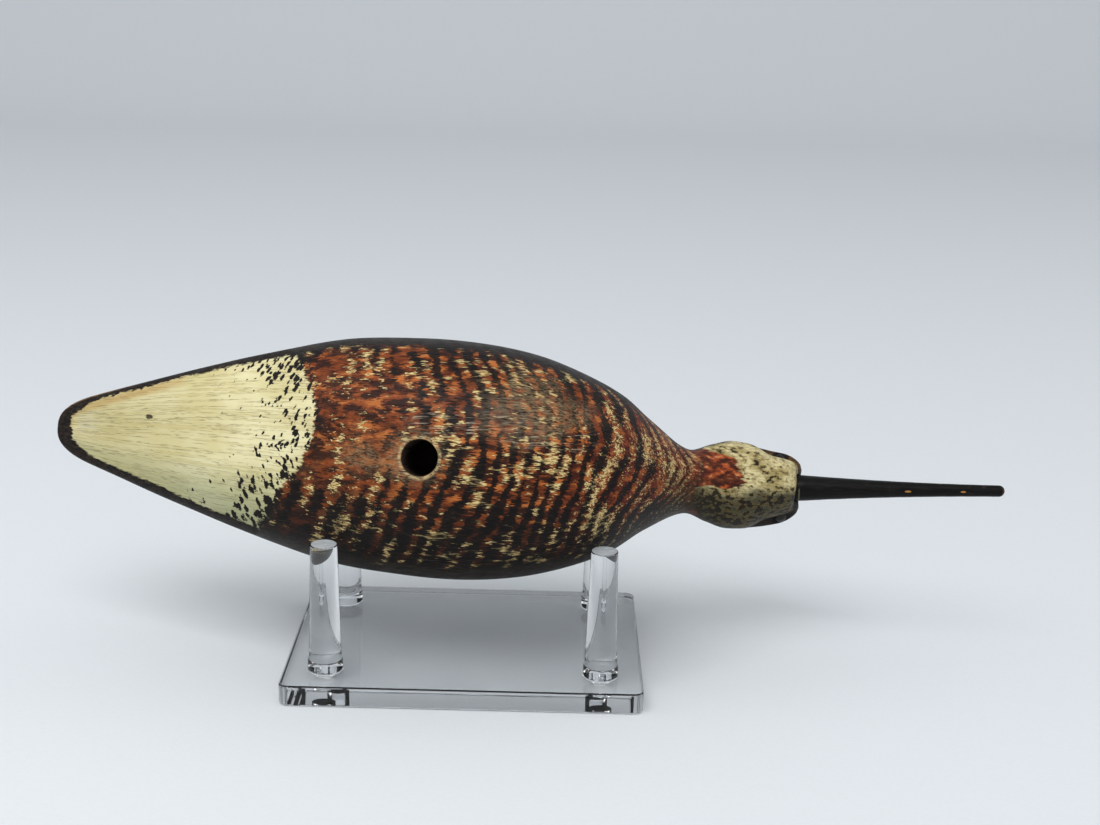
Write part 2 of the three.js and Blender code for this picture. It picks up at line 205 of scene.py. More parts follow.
class PaintShop(Nodes):
    """One material and the nodes in it."""

    def __init__(self, name):
        self.material = bpy.data.materials.new(name)
        self.material.use_nodes = True
        super().__init__(self.material.node_tree)

    def mask(self, kind, settings, values):
        return Mask(self, self.node(kind, settings, values).outputs[0])

    def place(self):
        """The object's own coordinates, in metres."""
        return self.node("ShaderNodeTexCoord").outputs["Object"]

    def parts(self, vector):
        """The three numbers of a vector."""
        split = self.node("ShaderNodeSeparateXYZ", {}, {"Vector": vector})
        return [Mask(self, socket) for socket in split.outputs]

    def vector(self, operation, first, second):
        return self.node("ShaderNodeVectorMath", {"operation": operation}, {0: first, 1: second})

    def turned_place(self, turn, shift):
        """The object's coordinates in millimetres, turned and then moved by shift."""
        values = {"Vector": self.place(), "Scale": (1 / MM,) * 3, "Rotation": turn.to_euler("XYZ"),
                  "Location": shift}
        return self.node("ShaderNodeMapping", {"vector_type": "POINT"}, values).outputs["Vector"]

    def grained(self, vector, grain, seed):
        """The place that a texture reads. grain is how many of its lumps lie in a unit, along each axis."""
        scaled = self.vector("MULTIPLY", vector, grain).outputs[0]
        return self.vector("ADD", scaled, (seed, seed * 0.7, seed * 1.3)).outputs[0]

    def noise(self, vector, grain, detail=2, seed=0):
        """Soft noise around 0.5."""
        values = {"Vector": self.grained(vector, grain, seed), "Scale": 1, "Detail": detail}
        return self.mask("ShaderNodeTexNoise", {}, values)

    def cells(self, vector, grain, seed):
        """The distance to the nearest of many scattered points."""
        values = {"Vector": self.grained(vector, grain, seed), "Scale": 1}
        return self.mask("ShaderNodeTexVoronoi", {}, values)

    def coats(self, colour, *pairs):
        """Coats of paint, one over another. Each is a pair: a colour, and the mask that says where it
        lies. A colour is a socket, or three numbers from 0 to 255, or four that are linear already."""
        for over, mask in pairs:
            under, over = (srgb(*c) if isinstance(c, tuple) and len(c) == 3 else c for c in (colour, over))
            values = {MIX_FACTOR: mask, MIX_UNDER: under, MIX_OVER: over}
            colour = self.node("ShaderNodeMix", {"data_type": "RGBA"}, values).outputs[MIX_RESULT]
        return colour

    def bump(self, height, depth):
        """Relief too fine for the mesh. depth is in metres."""
        values = {"Height": height, "Distance": depth, "Strength": 1}
        return self.node("ShaderNodeBump", {}, values).outputs["Normal"]

    def finish(self, **sockets):
        """Sets the shader's sockets, named with _ for a space."""
        shader = self.tree.nodes["Principled BSDF"]
        for name, value in sockets.items():
            self.plug(shader.inputs[name.replace("_", " ")], value)
        return self.material


# %% [markdown]
# ## The floor and the light
#
# The studio is a pale paper sweep: a floor that curves up into a wall, so that no edge shows behind the
# object. Three large soft lamps and a pale sky light it. The widest lamp hangs in front and above, and it
# makes the broad sheen on the upper half of the belly, which a sheen painted into the belly's colour
# strengthens. The clear stand shows only what is around it, so the lamps matter more to it than its own
# colour does.

# %% Floor
SWEEP_WIDTH = 12.0
SWEEP_FRONT = -8.0
SWEEP_BACK = 1.3
SWEEP_RADIUS = 0.5
SWEEP_HEIGHT = 2.2
UNDER_STAND = 0.0002  # a hair of air, so that the floor and the plate's underside are not one surface


def paper():
    shop = PaintShop("pale paper")
    fibres = shop.noise(shop.place(), (900, 900, 900), 3)
    colour = shop.coats((212, 216, 219), ((218, 222, 225), fibres))
    return shop.finish(Base_Color=colour, Roughness=0.9, Normal=shop.bump(fibres, 0.00004))


def make_floor():
    bend = [(SWEEP_BACK + SWEEP_RADIUS * math.sin(a), SWEEP_RADIUS * (1 - math.cos(a)))
            for a in np.linspace(0, math.pi / 2, 24)]
    line = [(SWEEP_FRONT, 0), *bend, (SWEEP_BACK + SWEEP_RADIUS, SWEEP_HEIGHT)]
    line = [(y, z - UNDER_STAND) for y, z in line]
    mesh = bpy.data.meshes.new("floor")
    points = [(side * SWEEP_WIDTH / 2, y, z) for y, z in line for side in (-1, 1)]
    mesh.from_pydata(points, [], [(2 * i, 2 * i + 1, 2 * i + 3, 2 * i + 2) for i in range(len(line) - 1)])
    mesh.shade_smooth()
    mesh.materials.append(paper())
    floor = in_scene("floor", mesh)
    return floor


print("floor:", len(make_floor().data.polygons), "faces")


# %% Lamps
LIT_PLACE = Vector((0, 0, 0.06))


def make_lamp(name, place, size, watts):
    """A soft rectangle of light that faces the object."""
    data = bpy.data.lights.new(name, "AREA")
    data.shape = "RECTANGLE"
    data.size, data.size_y = size
    data.energy = watts
    lamp = in_scene(name, data)
    lamp.location = place
    aim = LIT_PLACE - lamp.location
    lamp.rotation_euler = aim.to_track_quat("-Z", "Y").to_euler()


def make_sky(colour, strength):
    world = bpy.data.worlds.new("studio")
    world.use_nodes = True
    sky = world.node_tree.nodes["Background"]
    sky.inputs["Color"].default_value = colour
    sky.inputs["Strength"].default_value = strength
    bpy.context.scene.world = world


make_lamp("lamp above", (-0.25, -0.55, 1.05), (0.9, 0.6), 8)
make_lamp("lamp left", (-1.1, -0.1, 0.6), (0.5, 0.8), 1.5)
make_lamp("lamp right", (1.1, 0.2, 0.7), (0.5, 0.8), 1.5)
make_sky((0.95, 0.97, 1.0, 1), 0.7)
bpy.context.scene.view_settings.view_transform = "Standard"

# %% [markdown]
# ## The carver's measures
#
# The bird is laid out in its own frame, in millimetres: x from the tail tip forwards, y to its left, z
# towards its back. A carver cuts such a body between a few patterns: the half width, the height of the
# back, of the belly and of the widest line at each station. A smooth curve through each column gives
# every section between them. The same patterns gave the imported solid, so the fine skin lies on it.

# %% Sizes and patterns
CARVED_LENGTH = 237.4
BODY_WIDTH = 73.8
BODY_DEPTH = 64.5
FACE_DIAMETER = 13.4
FACE_ROUNDING = 7
TAIL_TIP_LENGTH = 13
BLADE_ROUNDING = 3.2
TAIL_TIP_THINNING = 0.55
BODY_FULLNESS = 2.12
TAIL_BACK_FULLNESS = 2
TAIL_UNDERSIDE_FULLNESS = 3.4
TAIL_BACK_RUN = 0.4
TAIL_UNDERSIDE, TAIL_UNDERSIDE_RUN = 0.08, 0.34
HEAD_TURN = math.radians(3.9)
NECK_SWAY = 0.85
NECK_STATION = 0.815
NECK_RISE = 0.07
TURN_STATION = 0.93
HEAD_TILT = math.radians(7)
TILT_STATION, TILT_RUN, TILT_HEIGHT = 0.9, 0.06, 22

# Each row: share of the length, half width, back, belly, widest line. Widths are shares of half the
# body's width, heights are shares of half its depth.
PATTERNS = np.array([
    (0.000, 0.188, 0.40, 0.270, 0.34),
    (0.065, 0.335, 0.47, 0.120, 0.30),
    (0.165, 0.545, 0.59, -0.150, 0.24),
    (0.260, 0.733, 0.72, -0.440, 0.16),
    (0.385, 0.941, 0.85, -0.742, 0.07),
    (0.480, 0.995, 0.95, -0.930, 0.02),
    (0.560, 0.993, 0.99, -1.010, 0.00),
    (0.635, 0.928, 0.99, -1.010, 0.00),
    (0.695, 0.812, 0.96, -0.930, 0.02),
    (0.750, 0.650, 0.91, -0.680, 0.08),
    (0.790, 0.463, 0.91, -0.370, 0.24),
    (0.840, 0.281, 0.98, 0.100, 0.50),
    (0.872, 0.338, 1.10, 0.270, 0.66),
    (0.900, 0.384, 1.18, 0.330, 0.74),
    (0.945, 0.353, 1.17, 0.380, 0.77),
    (1.000, 0.285, 1.06, 0.470, 0.76),
])


def mix(a, b, share):
    return a + (b - a) * share


def smooth(t):
    t = np.clip(t, 0, 1)
    return t * t * (3 - 2 * t)


def bell(t):
    return np.exp(-t * t)


def patterns_at(share):
    """The four columns of the patterns at these shares of the length, on smooth curves."""
    rows, last = PATTERNS, len(PATTERNS) - 1
    before, after = np.maximum(np.arange(last + 1) - 1, 0), np.minimum(np.arange(last + 1) + 1, last)
    slopes = (rows[after, 1:] - rows[before, 1:]) / (rows[after, :1] - rows[before, :1])
    i = np.clip(np.searchsorted(rows[:, 0], share) - 1, 0, last - 1)
    run = (rows[i + 1, 0] - rows[i, 0])[:, None]
    t = (share - rows[i, 0])[:, None] / run
    rest = 2 * t ** 3 - 3 * t ** 2 + 1
    bend = (t ** 3 - 2 * t ** 2 + t) * slopes[i] + (t ** 3 - t ** 2) * slopes[i + 1]
    return (rest * rows[i, 1:] + (1 - rest) * rows[i + 1, 1:] + run * bend).T


def rounded(distance, length, power):
    """How far an outline has opened at a rounded end."""
    left = np.clip(1 - distance / length, 0, 1)
    return (1 - left ** power) ** (1 / power)


def sideways(x, z):
    """The bird's middle line: the neck leans a little left, and the head is turned right and tilted."""
    share = x / CARVED_LENGTH
    leaning = NECK_SWAY * smooth((share - NECK_STATION) / NECK_RISE + 0.5)
    aside = math.tan(HEAD_TURN) * np.maximum(x - TURN_STATION * CARVED_LENGTH, 0)
    tilt = math.tan(HEAD_TILT) * smooth((share - TILT_STATION) / TILT_RUN)
    return leaning - aside + tilt * (z - TILT_HEIGHT)


class Sections:
    """The cross-sections of the carving at the places x: half widths, heights and fullness."""

    def __init__(self, x):
        x = np.clip(np.asarray(x, float), 0, CARVED_LENGTH)
        share = x / CARVED_LENGTH
        width, back, belly, widest = patterns_at(share)
        tail = rounded(x, TAIL_TIP_LENGTH, BLADE_ROUNDING)
        face = rounded(CARVED_LENGTH - x, FACE_ROUNDING, 2)
        thinning = mix(TAIL_TIP_THINNING, 1, tail)
        radius = FACE_DIAMETER / 2
        self.half = mix(radius, width * BODY_WIDTH / 2, face) * tail
        self.middle = widest * BODY_DEPTH / 2
        self.up = mix(radius, back * BODY_DEPTH / 2 - self.middle, face) * thinning
        self.down = mix(radius, self.middle - belly * BODY_DEPTH / 2, face) * thinning
        self.back_fullness = mix(TAIL_BACK_FULLNESS, BODY_FULLNESS, smooth(share / TAIL_BACK_RUN))
        past_tail = smooth((share - TAIL_UNDERSIDE) / TAIL_UNDERSIDE_RUN)
        self.belly_fullness = mix(TAIL_UNDERSIDE_FULLNESS, BODY_FULLNESS, past_tail)


print("half widths along the bird, mm:", Sections(np.linspace(0, CARVED_LENGTH, 7)).half.round(1))

# %% [markdown]
# ## The carved relief
#
# Four things are cut into the plain form. The folded wings stand proud of the back down to an edge that
# sweeps from the shoulder to the tail. The jaw is cut in under the brow, so that half of each eye shows
# from below. The chin is cut back to the bill, and the tail's underside is scraped a little hollow inside
# its rim. All are functions of the place on the bird, so they can be as fine as the mesh is.

# %% Wings, jaw and chin
WING_EDGE_HEIGHT = 0.8
WING_FRONT, WING_FRONT_RUN = 0.76, 0.1
WING_TIPS, WING_TIPS_RUN = 0.06, 0.06
WING_SWEEP_RUN = 0.3
WING_EDGE_AT_TIPS, WING_EDGE_AT_SHOULDER, WING_EDGE_SLOPE = 20, 62, 9
EYE_HEIGHT_IN_HEAD = 0.16
JAW_INSET, BROW_LEDGE = 2.4, 2.4
JAW_STATION, JAW_RUN = 0.925, 0.035
JAW_AT_BILL, CHIN_RUN = 0.5, 0.028
CREASE_DEPTH, CREASE_WIDTH = 0.6, 1.4
CREASE_STATION, CREASE_REACH = 0.965, 0.03
CHIN_SETBACK, CHIN_LENGTH = 2.6, 12
CHIN_TOP, CHIN_EASE = 3.5, 6


def wing_relief(share, turn):
    """How far the folded wing stands out, in millimetres. turn is in degrees, 90 at the back."""
    from_back = np.abs((turn + 90) % 360 - 180)
    edge = mix(WING_EDGE_AT_TIPS, WING_EDGE_AT_SHOULDER, smooth((share - WING_TIPS) / WING_SWEEP_RUN))
    inside = smooth((edge - from_back) / WING_EDGE_SLOPE + 0.5)
    ends = smooth((WING_FRONT - share) / WING_FRONT_RUN) * smooth((share - WING_TIPS) / WING_TIPS_RUN)
    return WING_EDGE_HEIGHT * inside * ends


def eye_level(section):
    return section.middle + EYE_HEIGHT_IN_HEAD * section.up


def jaw_cut(x, z, section):
    """How far the jaw is cut in under the brow."""
    share = x / CARVED_LENGTH
    below = eye_level(section) - z
    start = smooth((share - JAW_STATION) / JAW_RUN)
    end = mix(JAW_AT_BILL, 1, smooth((1 - share) / CHIN_RUN))
    crease = bell((share - CREASE_STATION) / CREASE_REACH) * bell((below - BROW_LEDGE / 2) / CREASE_WIDTH)
    return JAW_INSET * start * end * smooth(below / BROW_LEDGE) + CREASE_DEPTH * crease


def chin_setback(x, z, section):
    """How far the front of the chin is cut back, so that the bill shows sooner from below."""
    along = np.clip(1 - (CARVED_LENGTH - x) / CHIN_LENGTH, 0, 1) ** 2
    return CHIN_SETBACK * along * smooth((section.middle + CHIN_TOP - z) / CHIN_EASE)


def carved(x, turn):
    """Points of the carving at the places x and the angles turn, 0 at the left side, 90 at the back."""
    section = Sections(x)
    angle = np.radians(turn)
    above = np.sin(angle) >= 0
    tall = np.where(above, section.up, section.down)
    power = 2 / np.where(above, section.back_fullness, section.belly_fullness)
    y = section.half * np.sign(np.cos(angle)) * np.abs(np.cos(angle)) ** power
    z = tall * np.sign(np.sin(angle)) * np.abs(np.sin(angle)) ** power
    swell = 1 + wing_relief(x / CARVED_LENGTH, turn) / np.maximum(np.hypot(y, z), 1)
    cut = jaw_cut(x, section.middle + z, section) * np.abs(np.cos(angle))
    side = np.sign(y) * np.maximum(np.abs(y) * swell - cut, 0)
    height = section.middle + z * swell
    return np.stack([x - chin_setback(x, height, section), side + sideways(x, height), height], -1)


print("wing edge stands out, mm:", wing_relief(np.array([0.4]), np.array([90.0])).round(2))

# %% [markdown]
# ## Where the bird lies
#
# The bird lies on its left side with its belly turned up by 18 degrees, and settles on the four pegs with
# its head end a little low. One matrix takes the carver's frame to the stand's frame. Its inverse goes
# into the paint: a Mapping node turns the object's coordinates back into the carver's millimetres, so
# that the grain and the brush marks follow the bird and not the room.

# %% The pose
BELLY_TURNED_UP = math.radians(18)
BALANCE_STATION = 0.556
SETTLED_PLACE = Vector((0, -0.841, 65.398))
SETTLED_DROP = math.radians(2.6237)
SETTLED_SWING = math.radians(-2.6843)

onto_its_side = Matrix.Rotation(-math.pi / 2 - BELLY_TURNED_UP, 4, "X")
onto_its_side.translation = (-BALANCE_STATION * CARVED_LENGTH, 0, 0)
settled = Matrix.Rotation(SETTLED_SWING, 4, "Z") @ Matrix.Rotation(SETTLED_DROP, 4, "Y")
settled.translation = SETTLED_PLACE
BIRD_TO_STAND = Matrix.Scale(MM, 4) @ settled @ onto_its_side
STAND_TO_BIRD = BIRD_TO_STAND.inverted()


def through(matrix, points):
    matrix = np.array(matrix)
    return points @ matrix[:3, :3].T + matrix[:3, 3]


def on_stand(points):
    """Points of the carver's frame, in millimetres, as places on the stand, in metres."""
    return through(BIRD_TO_STAND, points)


def in_bird(points):
    """Places on the stand, in metres, as points of the carver's frame, in millimetres."""
    return through(STAND_TO_BIRD, points)


print("tail tip on the stand, mm:", (on_stand(carved(np.zeros(1), np.zeros(1)))[0] / MM).round(1))

# %% [markdown]
# ## The skin of the carving
#
# The body is a loft: rings of points along the bird, joined by faces. Points at even angles would crowd
# at the rim of the flat tail and lie far apart under it, so each ring is walked in even steps of its own
# length, once over the back and once under the belly. Both walks start at the widest line, which keeps
# the rim crisp. A small shave at the end takes off 0.05 mm, with slow waves as a drawknife leaves them.

# %% The lofted skin
RINGS = 372
STEPS_ROUND = 236
RING_CROWDING = 0.5
SHAVE = 0.05
KNIFE_WAVES = 0.16
HOLLOW_DEPTH = 0.45
HOLLOW_RIM, HOLLOW_EASE = 2.6, 2.2
HOLLOW_FRONT, HOLLOW_FRONT_RUN = 0.3, 0.12
HOLLOW_TIP, HOLLOW_TIP_RUN = 0.02, 0.05
HALF_TURN_POINTS = 721


def even_steps(line, count):
    """count points in even steps along a line of points, its last point left out."""
    run = np.concatenate([[0], np.cumsum(np.linalg.norm(np.diff(line, axis=0), axis=1))])
    steps = np.linspace(0, run[-1], count + 1)[:-1]
    return np.stack([np.interp(steps, run, line[:, k]) for k in range(3)], -1)


def ring_at(x):
    half_turn = np.linspace(0, 180, HALF_TURN_POINTS)
    over, under = (carved(np.full(len(half_turn), x), half_turn + start) for start in (0, 180))
    return np.concatenate([even_steps(over, STEPS_ROUND // 2), even_steps(under, STEPS_ROUND // 2)])


def make_rings():
    t = (np.arange(RINGS) + 0.5) / RINGS
    crowded = mix(t, (1 - np.cos(t * math.pi)) / 2, RING_CROWDING)
    places = crowded * CARVED_LENGTH
    places[-1] = CARVED_LENGTH
    return np.stack([ring_at(x) for x in places])


def outward(rings):
    """The direction off the surface at every point of the rings."""
    round_it = np.roll(rings, -1, 1) - np.roll(rings, 1, 1)
    along = np.gradient(rings, axis=0)
    normal = np.cross(round_it, along)
    return normal / np.maximum(np.linalg.norm(normal, axis=-1, keepdims=True), 1e-9)


def surface_marks(points):
    """For points in the carver's frame: the lateral share, -1 right to 1 left, and the inset from the
    widest line in millimetres, above 0 on the belly's side and below 0 on the back's."""
    x = np.clip(points[:, 0], 0, CARVED_LENGTH)
    section = Sections(x)
    lateral = np.clip((points[:, 1] - sideways(x, points[:, 2])) / np.maximum(section.half, 0.3), -1, 1)
    inset = section.half * (1 - np.abs(lateral))
    return lateral, np.where(points[:, 2] < section.middle, inset, -inset)


def shaving(points):
    """How much the carver took off at each point: slow waves, and the hollow under the tail."""
    x, y, z = points.T
    lateral, inset = surface_marks(points)
    waves = (np.sin(x / 5.1 + 0.9 * np.sin(y / 9)) * np.sin(y / 6.3 + z / 7.7 + 1.1)
             + 0.6 * np.sin(x / 8.7 - z / 4.9 + 0.4) * np.sin(y / 4.1 - 2))
    share = x / CARVED_LENGTH
    hollow = (smooth((inset - HOLLOW_RIM) / HOLLOW_EASE) * smooth((HOLLOW_FRONT - share) / HOLLOW_FRONT_RUN)
              * smooth((share - HOLLOW_TIP) / HOLLOW_TIP_RUN))
    return SHAVE + KNIFE_WAVES * (1 + waves / 1.6) / 2 + HOLLOW_DEPTH * hollow


rings = make_rings()
skin_points = rings.reshape(-1, 3)
skin_points = skin_points - outward(rings).reshape(-1, 3) * shaving(skin_points)[:, None]
tail_pole = carved(np.zeros(1), np.zeros(1))
tail_pole[0, 0] = SHAVE
face_middle = Sections([CARVED_LENGTH]).middle[0]
face_pole = np.array([[CARVED_LENGTH - CHIN_SETBACK / 2, sideways(CARVED_LENGTH, face_middle), face_middle]])
print("skin:", len(skin_points), "points, longest step round, mm:",
      np.linalg.norm(np.roll(rings, -1, 1) - rings, axis=-1).max().round(2))

# %% [markdown]
# ## From rings to a mesh, and holes into it
#
# The rings become faces, with a fan at each end. The holes are cut by Boolean modifiers with the same
# tools that bored them: a drill for the stick, whose mouth is worn wider by use, a smaller drill for the
# bill and a ball cutter for each eye. The cutters carry a material of their own, bored wood, and the
# Exact solver hands it to the faces that they leave.

# %% Mesh helpers
STICK_HOLE_DIAMETER = 11
STICK_HOLE_DEPTH = 32
STICK_HOLE_STATION = 0.5043
BILL_DROOP = math.radians(1.5)
BILL_BASE_DIAMETER = 8.4
EYE_DIAMETER = 5.2
EYE_INSET = 0.8
LEFT_EYE_SETBACK = 6.2
RIGHT_EYE_SETBACK = 7.7
LEVEL = 0.999  # a face is level from this z of its normal up


def mesh_object(name, points, faces):
    mesh = bpy.data.meshes.new(name)
    mesh.from_pydata([tuple(p) for p in points], [], faces)
    mesh.validate()
    mesh.shade_smooth()
    return in_scene(name, mesh)


def side_faces(ring_count, around):
    """Faces between neighbouring rings of points."""
    steps = [(k, (k + 1) % around) for k in range(around)]
    return [(low + k, low + after, low + around + after, low + around + k)
            for low in range(0, (ring_count - 1) * around, around) for k, after in steps]


def ring_faces(ring_count, around):
    """The same, and a fan at each end to a last point, which is put in the list after all the rings."""
    pole, top = ring_count * around, (ring_count - 1) * around
    steps = [(k, (k + 1) % around) for k in range(around)]
    fans = [(pole, after, k) for k, after in steps]
    fans += [(pole + 1, top + k, top + after) for k, after in steps]
    return side_faces(ring_count, around) + fans


def applied(made):
    """Leaves the mesh that an object's modifiers make of it, without the modifiers."""
    graph = bpy.context.evaluated_depsgraph_get()
    mesh = bpy.data.meshes.new_from_object(made.evaluated_get(graph))
    made.modifiers.clear()
    made.data = mesh
    return made


def face_outwards(made):
    """Turns every face outwards, whichever way the rings ran."""
    work = bmesh.new()
    work.from_mesh(made.data)
    bmesh.ops.recalc_face_normals(work, faces=work.faces)
    work.to_mesh(made.data)
    work.free()
    return made


def turned(name, profile, start, line, around=64):
    """A lathe-turned piece. profile is [radius, distance] pairs along the line from start, in the
    carver's frame, and its first and last radius are closed by a flat fan."""
    line = Vector(line).normalized()
    frame_of_line = line.to_track_quat("Z", "Y").to_matrix()
    points = []
    for radius, distance in profile:
        for k in range(around):
            angle = 2 * math.pi * k / around
            spoke = frame_of_line @ Vector((math.cos(angle), math.sin(angle), 0))
            points.append(Vector(start) + line * distance + spoke * radius)
    points += [Vector(start) + line * profile[0][1], Vector(start) + line * profile[-1][1]]
    placed = on_stand(np.array(points))
    return face_outwards(mesh_object(name, placed, ring_faces(len(profile), around)))


def flat_faces(made):
    """Level and large faces shade flat, so that the small bevels beside them do not bend the light there."""
    made.data.set_sharp_from_angle(angle=math.radians(20))
    for face in made.data.polygons:
        face.use_smooth = abs(face.normal.z) < LEVEL and face.area < (10 * MM) ** 2


def cut_with(body, cutters):
    """Cuts each cutter out of the body, then removes the cutters."""
    for cutter in cutters:
        cut = body.modifiers.new(cutter.name, "BOOLEAN")
        cut.operation = "DIFFERENCE"
        cut.solver = "EXACT"
        cut.material_mode = "TRANSFER"
        cut.object = cutter
    applied(body)
    for cutter in cutters:
        bpy.data.objects.remove(cutter)
    return body


print("stick hole, mm:", STICK_HOLE_DIAMETER, "x", STICK_HOLE_DEPTH)

# %% [markdown]
# ## Bored wood
#
# Inside the stick hole the wood is bare and brown with age. The drill left fine rings round the wall.

# %% Bored wood
GRAIN = (0.25, 3.2, 3.2)
DRILL_MARKS = (0.2, 0.2, 5)


def carver_millimetres(shop):
    """The object's coordinates, turned and scaled into the carver's frame in millimetres."""
    return shop.turned_place(STAND_TO_BIRD.to_3x3().normalized(), STAND_TO_BIRD.translation)


def bored_wood():
    shop = PaintShop("bored wood")
    place = carver_millimetres(shop)
    grain = shop.noise(place, GRAIN, 3)
    drilled = shop.noise(place, DRILL_MARKS, 2, seed=4)
    colour = shop.coats(
        (30, 20, 12),
        ((62, 42, 25), grain.rises(0.35, 0.7)),
        ((16, 11, 8), drilled.rises(0.5, 0.7) * 0.6))
    normal = shop.bump(drilled + grain * 0.5, 0.00015)
    return shop.finish(Base_Color=colour, Roughness=0.7 + grain * 0.2, Normal=normal)


bored = bored_wood()
print("bored wood:", len(bored.node_tree.nodes), "nodes")

# %% [markdown]
# ## Boring the holes
#
# The stick hole is bored square to the belly. Use has worn its rim a little, so the skin is lowered round
# it. The bill sits in a bore with a shallow ring seat, so that a dark line shows round its base. Each eye
# sits in a ball-shaped pocket, just wider than the glass.

# %% The carving with its holes
HOLE_RIM_WEAR = 0.3
HOLE_RIM_REACH = 1.6
BILL_SEAT = 4.37
BILL_SEAT_DEPTH = 3.4
BILL_BORE = 3.1
BILL_BORE_DEPTH = 10.3
EYE_GAP = 0.07

hole_x = STICK_HOLE_STATION * CARVED_LENGTH
hole_section = Sections([hole_x])
hole_mouth = Vector((hole_x, 0, (hole_section.middle - hole_section.down)[0]))
bill_root = Vector((CARVED_LENGTH, sideways(CARVED_LENGTH, face_middle), face_middle))
bill_line = Vector((1, -math.tan(HEAD_TURN), -math.tan(BILL_DROOP)))


def eye_centre(side):
    """side is 1 for the left eye and -1 for the right one."""
    x = CARVED_LENGTH - (LEFT_EYE_SETBACK if side > 0 else RIGHT_EYE_SETBACK)
    section = Sections([x])
    cheek = section.half[0] * (1 - EYE_HEIGHT_IN_HEAD ** BODY_FULLNESS) ** (1 / BODY_FULLNESS)
    level = eye_level(section)[0]
    out = cheek - EYE_INSET - EYE_DIAMETER / 2
    return Vector((x, side * out + float(sideways(x, level)), level))


def ball_profile(radius, steps=20):
    return [(radius * math.sin(a), -radius * math.cos(a)) for a in np.linspace(0.03, math.pi - 0.03, steps)]


def wear_hole_rim(points):
    out = np.hypot(points[:, 0] - hole_x, points[:, 1]) - STICK_HOLE_DIAMETER / 2
    worn = np.clip(1 - out / HOLE_RIM_REACH, 0, 1) ** 2 * (points[:, 2] < 0)
    return points + np.outer(worn * HOLE_RIM_WEAR, (0, 0, 1))


def cutters():
    radius = STICK_HOLE_DIAMETER / 2
    drill = turned("stick drill", [(radius, -STICK_HOLE_DIAMETER), (radius, STICK_HOLE_DEPTH)], hole_mouth,
                   (0, 0, 1))
    seat = [(BILL_BORE, -BILL_BORE_DEPTH), (BILL_BORE, -BILL_SEAT_DEPTH), (BILL_SEAT, -BILL_SEAT_DEPTH),
            (BILL_SEAT, BILL_SEAT)]
    made = [drill, turned("bill drill", seat, bill_root, bill_line)]
    for side, name in ((1, "left eye cutter"), (-1, "right eye cutter")):
        made.append(turned(name, ball_profile(EYE_DIAMETER / 2 + EYE_GAP), eye_centre(side), (0, 1, 0)))
    for cutter in made:
        cutter.data.materials.append(bored)
    return made


def make_carving():
    points = np.concatenate([wear_hole_rim(skin_points), tail_pole, face_pole])
    body = face_outwards(mesh_object("carving", on_stand(points), ring_faces(RINGS, STEPS_ROUND)))
    return cut_with(body, cutters())


carving = make_carving()
print("carving:", sum(len(p.vertices) - 2 for p in carving.data.polygons), "triangles")

# %% [markdown]
# ## Where the paint lies
#
# The painter worked by the shape: a dark line along the edge, bars across the belly and a pale tail. So
# each point of the mesh is told three numbers, stored as an attribute that the paint reads: how far along
# the bird it is, how far across (-1 at its right side, 1 at its left), and how far in from the edge.

# %% The lay of the bird
def coordinates(made):
    flat = np.empty(len(made.data.vertices) * 3)
    made.data.vertices.foreach_get("co", flat)
    return flat.reshape(-1, 3)


def store_lay(made):
    points = in_bird(coordinates(made))
    lateral, inset = surface_marks(points)
    marks = made.data.attributes.new("lay", "FLOAT_VECTOR", "POINT")
    marks.data.foreach_set("vector", np.stack([points[:, 0], lateral, inset], -1).astype(np.float32).ravel())
    print(made.name, "lies from", points.min(0).round(1), "to", points.max(0).round(1), "in the bird's frame")


store_lay(carving)


# %% [markdown]
# ## The paint, layer by layer
#
# The painter's order is kept. A rust ground comes first, then dabs of cream in columns, then black bars
# across, and last the cream tail and its black flecks. The strokes were pulled along the bird with a
# nearly dry brush, so most noises here are stretched along x. Lengths are in the carver's millimetres.

# %% A canvas of masks
class Canvas:
    """The places and noises that every layer of the decoy's paint uses. In brushed, each hair of the brush
    has dragged its paint a little way along the bird."""

    def __init__(self, shop):
        self.shop = shop
        self.place = carver_millimetres(shop)
        lay = shop.node("ShaderNodeAttribute", {"attribute_name": "lay"}).outputs["Vector"]
        self.x, self.lateral, self.inset = shop.parts(lay)
        _, self.y, self.z = shop.parts(self.place)
        self.broad = self.lumps(0.022, 0.028, 0, seed=5)
        self.coarse = self.lumps(0.09, 0.09, 1, seed=3)
        self.streak = self.lumps(0.2, 1.5, 2, seed=7)
        self.bristle = self.lumps(0.5, 3.4, 2, seed=11)
        drag = (self.lumps(0.11, 1.9, 2, seed=13) - 0.5) * 9
        self.brushed = shop.vector("ADD", self.place, self.flat(drag, 0)).outputs[0]
        self.edge = self.inset.least(self.x * 0.9)
        self.under = self.inset.rises(0, 1.5)
        out = ((self.x - hole_x) ** 2 + self.y ** 2) ** 0.5
        self.from_hole = out + self.z.rises(-10, 10) * 100

    def flat(self, x, y):
        """A place for a pattern that is drawn flat."""
        return self.shop.node("ShaderNodeCombineXYZ", {}, {0: x, 1: y, 2: 0}).outputs[0]

    def lumps(self, along, across, detail, seed):
        """Noise with so many lumps in a millimetre along the bird, and so many across it."""
        return self.shop.noise(self.place, (along, across, across), detail, seed)

    def dragged(self, along, across, detail, seed):
        """The same noise in paint that the brush has dragged."""
        return self.shop.noise(self.brushed, (along, across, across), detail, seed)


# %% [markdown]
# ## Rust, cream dabs and black bars
#
# About twenty black bars cross the belly. They lie 7 mm apart near the stick hole and close up to 4 mm at
# the neck, and they sweep back towards the tail at the sides, more on the left. A wave that quickens along
# the bird gives their rhythm. Streaky noise pushes their edges to and fro, so that they break into dabs.

